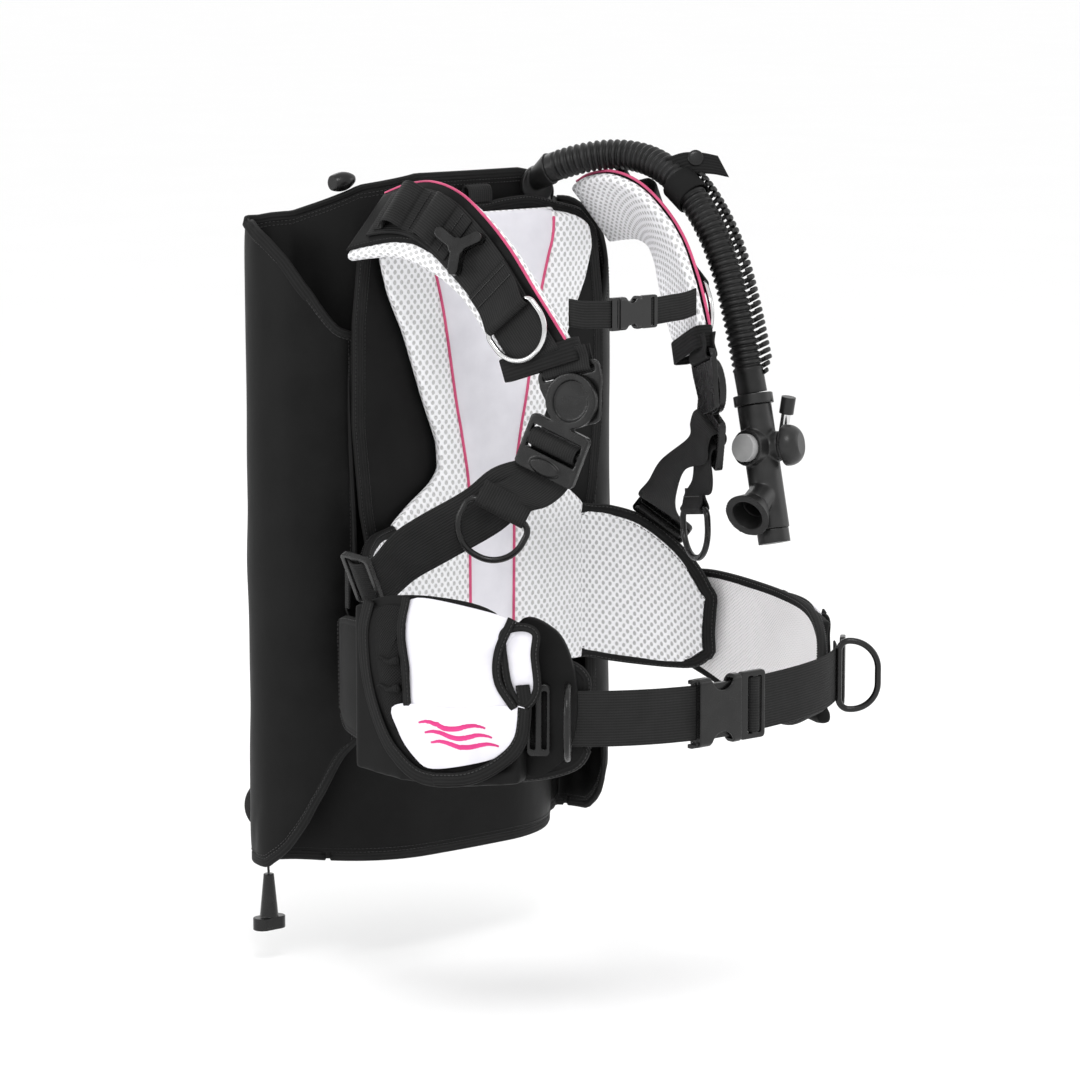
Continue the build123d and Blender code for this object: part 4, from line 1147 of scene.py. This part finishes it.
def make_pockets():
    """Each weight pocket: its core, mesh side, white flap and pouch panel, all tape bound."""
    for name in SIDES:
        moulded(f"weight_pocket_{name}", "black_nylon", 2.2, 26)
        moulded(f"weight_pouch_{name}", "white_fabric", 1.5, 10)
        face = PocketFace(name)
        batch = Batch()
        dome(face, LOOP + [(150, -22), (90, -8)], -1.0, 1.0, batch, 0)
        dome(face, SIDE_PANEL, 0.4, 3.2, batch, 2)
        for height in (-68, -93):
            pleat = [face.spot(34 + 24 * step / 8, height + 1.5 * sin(step), 3.4)[0]
                     for step in range(9)]
            batch.skin(tube_rings(pleat, lambda step: round_section(1.2 + 0.84 * step, 8)), 2)
        face_tape(face, LOOP, 13.0, 2.2, batch, 1, stitched=3)
        face_tape(face, [(66, -9), (60, -41), (64, -74), (66, -107)], 8.0, 3.6, batch, 1,
                  stitched=3)
        batch.build(f"weight_pocket_{name}_shell",
                    ["black_nylon", "tape", "black_mesh", "black_thread"], "root")
        white = Batch()
        dome(face, FLAP, 1.2, 4.2, white)
        dome(face, OPENING, 0.2, 0.4, white)
        dome(face, POUCH_PANEL, 4.2, 5.5, white, foot=5.0)
        panels = white.build(f"weight_pocket_{name}_panels", ["white_fabric"], "root")
        edging = Batch()
        face_tape(face, OPENING, 7.5, 2.4, edging, 0, closed=True, stitched=1)
        face_tape(face, [(163, -22), (150, -52), (150, -78), (165, -101)], 8.0, 4.4, edging, 0,
                  stitched=1)
        face_tape(face, [(92, -169), (125, -164), (154, -147), (170, -128), (174, -100)], 11.0,
                  4.6, edging, 0, stitched=1)
        edging.build(f"weight_pocket_{name}_edging", ["tape", "black_thread"], "root")
        if name == "right":
            end = Batch()
            dome(face, HIP_END, -26.0, 5.0, end, foot=6.0)
            end.build("hip_end_right_cover", ["black_nylon"], "root")
        tree = BVHTree.FromObject(panels, bpy.context.evaluated_depsgraph_get())
        waves = Batch()
        for row, (first, last) in enumerate([(80, 140), (86, 146), (92, 152)]):
            line = [face.spot(first + (last - first) * step / 60,
                              -119 - 8.5 * row + 2.2 * sin(step / 60 * 3 * pi), 14)[0]
                    for step in range(61)]
            laid, outs = snapped(tree, line, 0.2)
            sections = [band(1.2 + 3.6 * sin(pi * (0.06 + 0.88 * step / 60)), 1.2, 3)
                        for step in range(61)]
            sides = [out.cross(directions(laid, index)) for index, out in enumerate(outs)]
            waves.skin(rings_along(laid, sides, lambda index: sections[index]))
        waves.build(f"weight_pocket_{name}_embroidery", ["embroidery"], "root")


# ---------------------------------------------------------------- shoulder straps

STRAP_EDGES = [((110, -125, 321), (160, -125, 266)), ((105, -150, 330), (156, -152, 270)),
               ((102, -185, 335), (149, -181, 272)), ((101, -222, 328), (142, -206, 266)),
               ((100, -258, 309), (130, -228, 252)), ((97, -290, 283), (118, -246, 233)),
               ((91, -317, 249), (109, -266, 202)), ((83, -338, 218), (106, -279, 184)),
               ((75, -355, 190), (104, -290, 171))]
COVER_SHORT = 15.0          # how far the black cover stops short of the lateral edge
END_BAND_AT = 7.72          # the station of the band round the strap's end


def strap_station(side, t):
    """Medial edge, unit across, width and outward direction of a strap at station t."""
    medials = [mm(edges[0], side) for edges in STRAP_EDGES]
    laterals = [mm(edges[1], side) for edges in STRAP_EDGES]
    medial, lateral = along(medials, t), along(laterals, t)
    ahead = (along(medials, t + 0.1) + along(laterals, t + 0.1)
             - along(medials, t - 0.1) - along(laterals, t - 0.1))
    unit = (lateral - medial).normalized()
    outward = ahead.cross(unit).normalized() * side
    return medial, unit, (lateral - medial).length, outward


def on_strap(side, t, across, lift):
    """A place on a strap, across and lift in millimetres from its medial edge and middle."""
    medial, unit, _, outward = strap_station(side, t)
    return medial + unit * across * MM + outward * lift * MM


def make_straps():
    """Each shoulder strap: mesh pad, black cover, pink piping and end band."""
    for name, side in SIDES.items():
        steps, columns = 60, 18
        rows, normals = [], []
        for step in range(steps + 1):
            medial, unit, width, outward = strap_station(side, step * 8 / steps)
            rows.append([medial + unit * width * column / columns
                         for column in range(columns + 1)])
            normals.append([outward] * (columns + 1))
        pad = Pad(rows, normals, 12.0, 8.0, swell=3.5)
        made = pad.build(f"shoulder_strap_{name}_pad", ["white_mesh"], "root")
        puff(made, pad.pinned, pressure=4.0, cap=2.4)
        subdivide(made)
        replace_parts(made, f"shoulder_strap_{name}")

        cover, edging = Batch(), []
        rings = []
        for step in range(91):
            t = 8 * step / 90
            medial, unit, width, outward = strap_station(side, t)
            reach = width / MM - COVER_SHORT * min(1.0, 0.35 + t / 4)
            marks = [1.5 + (reach - 1.5) * part / 10 for part in range(11)]
            top = [medial + unit * a * MM + outward
                   * (7.6 + 0.5 * crease(medial + unit * a * MM, 0.03, 5.0)) * MM for a in marks]
            bottom = [place - outward * 1.6 * MM for place in reversed(top)]
            rings.append([top[0] - outward * 0.8 * MM - unit * MM, *top,
                          top[-1] - outward * 0.8 * MM + unit * MM, *bottom])
            edging.append((medial + unit * 1.2 * MM + outward * 7.0 * MM, top[-1], outward))
        cover.skin(rings)
        line = [last + outward * 0.1 * MM for _, last, outward in edging]
        inner = [place.lerp(edging[i][0], 0.05) for i, place in enumerate(line)]
        dashes(cover, inner, [outward for _, _, outward in edging], 1)
        cover.build(f"shoulder_strap_{name}_cover", ["black_nylon", "black_thread"], "root")
        piping = Batch()
        piping.skin(tube_rings([first for first, _, _ in edging[:85]], round_section(PIPING)))
        piping.build(f"shoulder_strap_{name}_piping", ["pink"], "root")

        batch = Batch()
        loop, acrosses = [], []
        medial, unit, width, outward = strap_station(side, END_BAND_AT)
        half, reach = width / 2 + 2.2 * MM, 8.8 * MM
        middle = medial + unit * width / 2
        for step in range(40):
            turn = 2 * pi * step / 40
            wide, tall = cos(turn), sin(turn)
            loop.append(middle + unit * half * (abs(wide) ** 0.35) * (1 if wide > 0 else -1)
                        + outward * reach * (abs(tall) ** 0.35) * (1 if tall > 0 else -1))
            acrosses.append(unit.cross(outward))
        batch.skin(rings_along(loop, acrosses, band(21, 2.0), closed=True), closed=True)
        batch.build(f"shoulder_strap_{name}_end_band", ["tape"], "root")


def strap_run(side, marks, across):
    """A webbing path on a strap from (t, lift) marks, with its width directions."""
    spots = trace([Vector((t, lift, 0)) for t, lift in marks], len(marks) * 8)
    path = [on_strap(side, spot.x, across, spot.y) for spot in spots]
    return path, [strap_station(side, spot.x)[1] for spot in spots]


# What is sewn on the strap: (station, lift) marks, middle, width and thickness, then its bar
# tacks' stations and their start, length and lift.
SEWN_RUNS = [
    ([(0.7, 9.2), (2.0, 9.3), (4.0, 9.3), (6.0, 9.2), (7.6, 9.0)], 35, WEB_WIDE, WEB_THICK,
     (), (0, 0, 0)),
    ([(0.95, 11.4), (1.25, 11.6), (1.4, 16), (1.55, 23), (1.8, 24), (1.98, 17), (2.1, 11.8),
      (2.5, 11.8), (2.62, 16), (2.75, 22), (3.0, 22), (3.2, 16), (3.32, 11.8), (3.8, 11.6)],
     34, 44, 2.0, (1.12, 2.3, 3.5), (14, 40, 12.9)),
    ([(5.05, 11.6), (5.5, 12.0), (5.8, 16.5), (6.0, 19.4), (6.13, 16.4), (6.08, 12.4),
      (5.9, 11.6)], 35, WEB_WIDE, 2.0, (5.15, 5.4), (12, 46, 13.1))]


def make_strap_webs():
    """Webbing on the straps: the main run, the sewn loops and the chest ring's keeper."""
    batch = Batch()
    for side in SIDES.values():
        for marks, centre, width, thick, tacks, (start, long, lift) in SEWN_RUNS:
            path, acrosses = strap_run(side, marks, centre)
            batch.skin(rings_along(path, acrosses, band(width, thick)))
            for t in tacks:
                bar = [on_strap(side, t, start + long * step / 20, lift) for step in range(21)]
                dashes(batch, bar, [strap_station(side, t)[3]] * 21, 1, 1.6, 3.4, 1.0)
    made = batch.build("strap_webs_sewn", ["webbing", "black_thread"], "root")
    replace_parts(made, "strap_webs")


# ---------------------------------------------------------------- webbing runs

SWIVEL = Vector((82.7, -352.8, 151.7))      # the buckle's turning centre on the left side
ARM_DOWN = Vector((0.19, 0.309, -0.932))
ARM_FACE = Vector((0.918, -0.393, 0.057))
ARM_ACROSS = Vector((0.349, 0.866, 0.358))
PLATE_DOWN = Vector((-0.051, -0.259, -0.965))
PLATE_ACROSS = Vector((0.394, 0.882, -0.258))
RING_ORIGINS = {"right": (126, -306, 55), "left": (111, -300, 34)}
RING_BARS = {"right": (0.63, 0.62, 0.46), "left": (0.344, 0.922, -0.147)}
RING_HANG = 4.4
MAIN_RUNS = {"right": [(210, -217.5, -11.5), (216, -207, -13), (218.5, -216.5, -17),
                       (213, -225, -16), (205, -233, -10), (186, -240, 8), (160, -252, 24),
                       (132, -282, 48), (116, -304, 70)],
             "left": [(189.5, -164.5, -4.5), (195, -157, -7), (196.5, -162.5, 0),
                      (191, -169.5, 2), (182, -177, 7), (168, -188, 12), (150, -204, 23),
                      (129, -235, 42), (109, -272, 68)]}
MAIN_ACROSS = {"right": [(0.5, -0.2, 0.84)] * 4 + [(0.5, -0.1, 0.86), (0.48, 0.1, 0.87),
                                                  (0.46, 0.35, 0.82), (0.42, 0.50, 0.76),
                                                  (0.45, 0.52, 0.72)],
               "left": [(-0.553, 0.586, 0.593)] * 4 + [(-0.5, 0.66, 0.55), (-0.35, 0.8, 0.42),
                                                       (-0.1, 0.95, 0.25), (0.155, 0.978, 0.119),
                                                       (0.25, 0.97, 0.07)]}
TAIL_MIDDLES = {"right": (112, -320, 67), "left": (106, -316, 54)}
# The webbing's way through the buckle: millimetres below the swivel, and in front of it.
BUCKLE_WAY = [(66, -8.5), (50, -7.5), (39, -5), (36.5, 1.5), (38.4, 8), (44, 10), (49.6, 8),
              (52, 2), (54.5, -3), (64, -3.8), (77, -1.5)]
BELT_RUN = [(184, -414, -113), (175, -425, -114), (158, -441, -114), (126, -459, -115),
            (86, -468, -117), (47, -470, -119), (36, -470, -119)]
SIDE_RUNS = {"right": [(205, -183, -21), (199, -170, -23), (176, -146, -39), (156, -129, -49)],
             "left": [(202, -149, -49), (188, -141, -50), (172, -134, -51), (156, -128, -51)]}
HANDLE_RUN = [(0, -109.5, 296), (0, -109.5, 316), (0, -112, 324.5), (0, -118, 325),
              (0, -121, 320), (0, -121, 310)]
BAND_MID = 93.3             # the tank band's middle line round the cylinder
BAND_RUN = (78.0, -114.4)   # where it crosses in front of the backplate
STERNUM_RUN = [(76, -339, 229), (60, -340, 226), (44, -340, 225), (29, -340, 224), (20, -340, 224)]
BUCKLE_BAR = (29.5, -470, -120)     # the waist buckle's bar that the belt is wrapped round
# The belt's end goes behind the buckle's outer bar and into its first slot.
BUCKLE_THREAD = [(39, -466.2, -119.6), (33.5, -466.6, -119.8)]


def make_shoulder_webbing(name, side):
    """One length of webbing from the hip slide through the buckle to the pull ring."""
    bar = Vector(RING_BARS[name]).normalized()
    drop = (Vector((0, 0, -1)) + bar * bar.z).normalized()
    out = bar.cross(drop)
    ring = Vector(RING_ORIGINS[name])
    points = [Vector(place) for place in MAIN_RUNS[name]]
    acrosses = [Vector(way) for way in MAIN_ACROSS[name]]
    points += [SWIVEL + ARM_DOWN * reach + ARM_FACE * lift for reach, lift in BUCKLE_WAY]
    acrosses += [ARM_ACROSS] * len(BUCKLE_WAY)
    points += [Vector(TAIL_MIDDLES[name]), ring - drop * 8, ring + out * 2.2,
               ring + drop * RING_HANG + out * 4.6, ring + drop * (RING_HANG + 4.4),
               ring + drop * RING_HANG - out * 4.6, ring - drop * 6 - out * 1.4,
               ring - drop * 15 - out * 1.2]
    acrosses += [ARM_ACROSS + bar] + [bar] * 7
    path = [mm(place, side) for place in trace(points, 220)]
    across = [mm(way, side) for way in trace(acrosses, 220)]
    batch = Batch()
    batch.skin(rings_along(path, across, band(WEB_WIDE - 1, 2.0)))
    front = mm(ring - drop * 7 + out * 2.6, side)
    way = mm(bar, side).normalized()
    row = [front + way * reach * MM for reach in range(-20, 21, 2)]
    dashes(batch, row, [mm(out, side).normalized()] * len(row), 1, 1.6, 3.4, 1.0)
    made = batch.build(f"shoulder_webbing_{name}_run", ["webbing", "black_thread"], None)
    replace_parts(made, f"shoulder_webbing_{name}")
    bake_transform(made)


def make_plate_loop(name, side):
    """The webbing that holds the swivel's plate to the end of the shoulder strap."""
    slot = SWIVEL - PLATE_DOWN * 25 - ARM_FACE * 3.5
    points = [SWIVEL - PLATE_DOWN * 47 + ARM_FACE * 3, slot - PLATE_DOWN * 12 + ARM_FACE * 4,
              slot - PLATE_DOWN * 1 + ARM_FACE * 5.2, slot + PLATE_DOWN * 1.4 + ARM_FACE,
              slot - PLATE_DOWN * 1 - ARM_FACE * 5.2, slot - PLATE_DOWN * 12 - ARM_FACE * 4,
              SWIVEL - PLATE_DOWN * 47 - ARM_FACE * 8]
    loop = [mm(place, side) for place in trace(points, 40)]
    webbing(f"shoulder_plate_{name}_loop", loop, [mm(PLATE_ACROSS, side)] * 41, "root",
            WEB_WIDE - 2, 2.0)


def make_belt(name, side):
    """Half of the waist belt; on the left, the wrap round the buckle's bar follows the buckle that
    slides out.
    """
    threaded = BUCKLE_THREAD if side > 0 else []
    belt = trace([mm(place, side) for place in BELT_RUN + threaded], 60)
    upward = [Vector((0, 0, 1))] * len(belt)
    made = webbing(f"waist_web_{name}_belt", belt, upward, None)
    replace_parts(made, f"waist_web_{name}")
    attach(made, "root")
    if side > 0:
        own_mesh(made)
        turns = [2 * pi * step / 24 for step in range(24)]
        loop = [mm(BUCKLE_BAR) + mm((4.9 * cos(turn), 4.6 * sin(turn), 0)) for turn in turns]
        webbing("waist_web_left_wrap", loop, [Vector((0, 0, 1))] * 24, "waist_clip",
                WEB_WIDE, 2.0, closed=True)


def make_sternum_web(name, side):
    """Half of the sternum strap; the left half is given its own copy of the mesh."""
    path = trace([mm(place, side) for place in STERNUM_RUN], 30)
    made = webbing(f"sternum_web_{name}_strip", path, [Vector((0, 0, 1))] * 31, None, 25.0,
                   1.8)
    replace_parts(made, f"sternum_web_{name}")
    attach(made, "root")
    if side > 0:
        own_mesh(made)


def make_webbing():
    """Every free run of webbing on both sides, the tank band and the carry handle."""
    for name, side in SIDES.items():
        make_shoulder_webbing(name, side)
        make_plate_loop(name, side)
        make_belt(name, side)
        make_sternum_web(name, side)

    side_runs = Batch()
    for name, run in SIDE_RUNS.items():
        path = trace([mm(place, SIDES[name]) for place in run], 24)
        side_runs.skin(rings_along(path, [Vector((0, 0, 1))] * 25, band(WEB_WIDE, WEB_THICK)))
    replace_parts(side_runs.build("side_straps_webbing", ["webbing"], "root"), "side_straps")

    turns = [radians(-9 + 198 * step / 60) for step in range(61)]
    loop = [mm((cos(turn) * BAND_MID, sin(turn) * BAND_MID, 0)) for turn in turns]
    edge, front = BAND_RUN
    corners = [mm((-edge - 4, -60, 0)), mm((-edge - 1, -108, 0)), mm((-edge + 8, front, 0))]
    loop += corners + [mm((step, front, 0)) for step in range(-50, 51, 20)]
    loop += [Vector((-place.x, place.y, place.z)) for place in reversed(corners)]
    loop = round_loop(loop, 200)
    made = webbing("tank_band_webbing", loop, [Vector((0, 0, 1))] * len(loop), "root",
                   closed=True)
    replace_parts(made, "tank_band")

    path = trace([mm(place) for place in HANDLE_RUN], 30)
    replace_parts(webbing("carry_handle_strap", path, [Vector((1, 0, 0))] * 31, "root", 28.0, 3.0),
            "carry_handle")


KEEPER_RUN = [(129, -247, 343), (139, -259, 348), (152, -269, 348), (164, -279, 345)]


def make_keeper_flap():
    """The loose end of the hose keeper, with its snap fastener."""
    flap = Batch()
    path = trace([mm(place) for place in KEEPER_RUN], 24)
    across = Vector((0.26, -0.39, -0.84)).normalized()
    flap.skin(rings_along(path, [across] * 25, band(23.0, 1.8)))
    front = across.cross(path[14] - path[10]).normalized()
    front *= 1 if front.y < 0 else -1
    for centre, sign, size in ((path[12] - across * 5 * MM, 1, 7.6),
                               (path[12] - across * 2 * MM, -1, 5.0)):
        rise = [centre + front * sign * height * MM for height in (0.4, 1.6, 2.3, 2.7)]
        rings = [round_section(2 * size * share, 28) for share in (1, 1, 0.9, 0.55)]
        flap.skin(tube_rings(rise, lambda index: rings[index]), 1)
    flap.build("hose_keeper_flap", ["tape", "moulded_black"], "root")


# ---------------------------------------------------------------- hard pieces

MOULDED = [    # a node, its look, the grain of its eased shape, and the rounds of easing
    ("sternum_buckle_female", "gloss_black", 0.5),
    ("sternum_buckle_male", "gloss_black", 0.5),
    ("waist_buckle_female", "moulded_black", 0.7),
    ("waist_buckle_male", "moulded_black", 0.7),
    ("waist_slides", "moulded_black", 0.8),
    ("strap_slides", "moulded_black", 0.8),
    ("shoulder_pull_knob", "moulded_black", 0.6, 5),
    ("inflator_body", "inflator_plastic", 0.8, 6),
    ("inflator_end_cap", "inflator_plastic", 0.7, 3),
    ("mouthpiece", "hose_rubber", 0.7, 4),
    ("hose_clamp", "inflator_plastic", 0.7, 3),
    ("deflate_button", "button_grey", 0.6, 3),
    ("inflate_button", "inflator_plastic", 0.6, 3),
    ("nipple_cap", "inflator_plastic", 0.4, 2),
    ("hose_elbow", "hose_rubber", 0.9, 5),
    ("lower_dump_toggle", "moulded_black", 0.6, 4),
    ("lower_dump_valve", "moulded_black", 0.8, 4),
    ("upper_dump_valve", "moulded_black", 0.8, 4),
    ("upper_dump_knob", "moulded_black", 0.6, 4),
    ("cam_buckle", "moulded_black", 0.8, 3),
    ("cam_lever", "moulded_black", 0.8, 3),
    ("backplate", "moulded_black", 2.0, 3),
    ("tank_pad", "rubber_pad", 1.2, 3),
    ("hose_keeper", "tape", 0.9, 2)]


def make_hard_pieces():
    """Moulded plastic, rubber and steel pieces, eased or carried over from the frame."""
    for name in SIDES:
        moulded(f"shoulder_plate_{name}", "moulded_black")
        moulded(f"shoulder_buckle_{name}", "moulded_black")
        moulded(f"pull_ring_{name}", "moulded_black", 0.9, 2)
        moulded(f"waist_ring_{name}", "moulded_black", 0.9, 2)
        dress(f"chest_ring_{name}", "polished_steel")
    for spec in MOULDED:
        moulded(*spec)
    make_keeper_flap()
    dress("inflator_nipple", "polished_steel")


make_looks()
make_studio()
make_hose()
make_dump_cord()
make_air_cell()
make_back_pad()
make_waist_pads()
make_pockets()
make_straps()
make_strap_webs()
make_webbing()
make_hard_pieces()
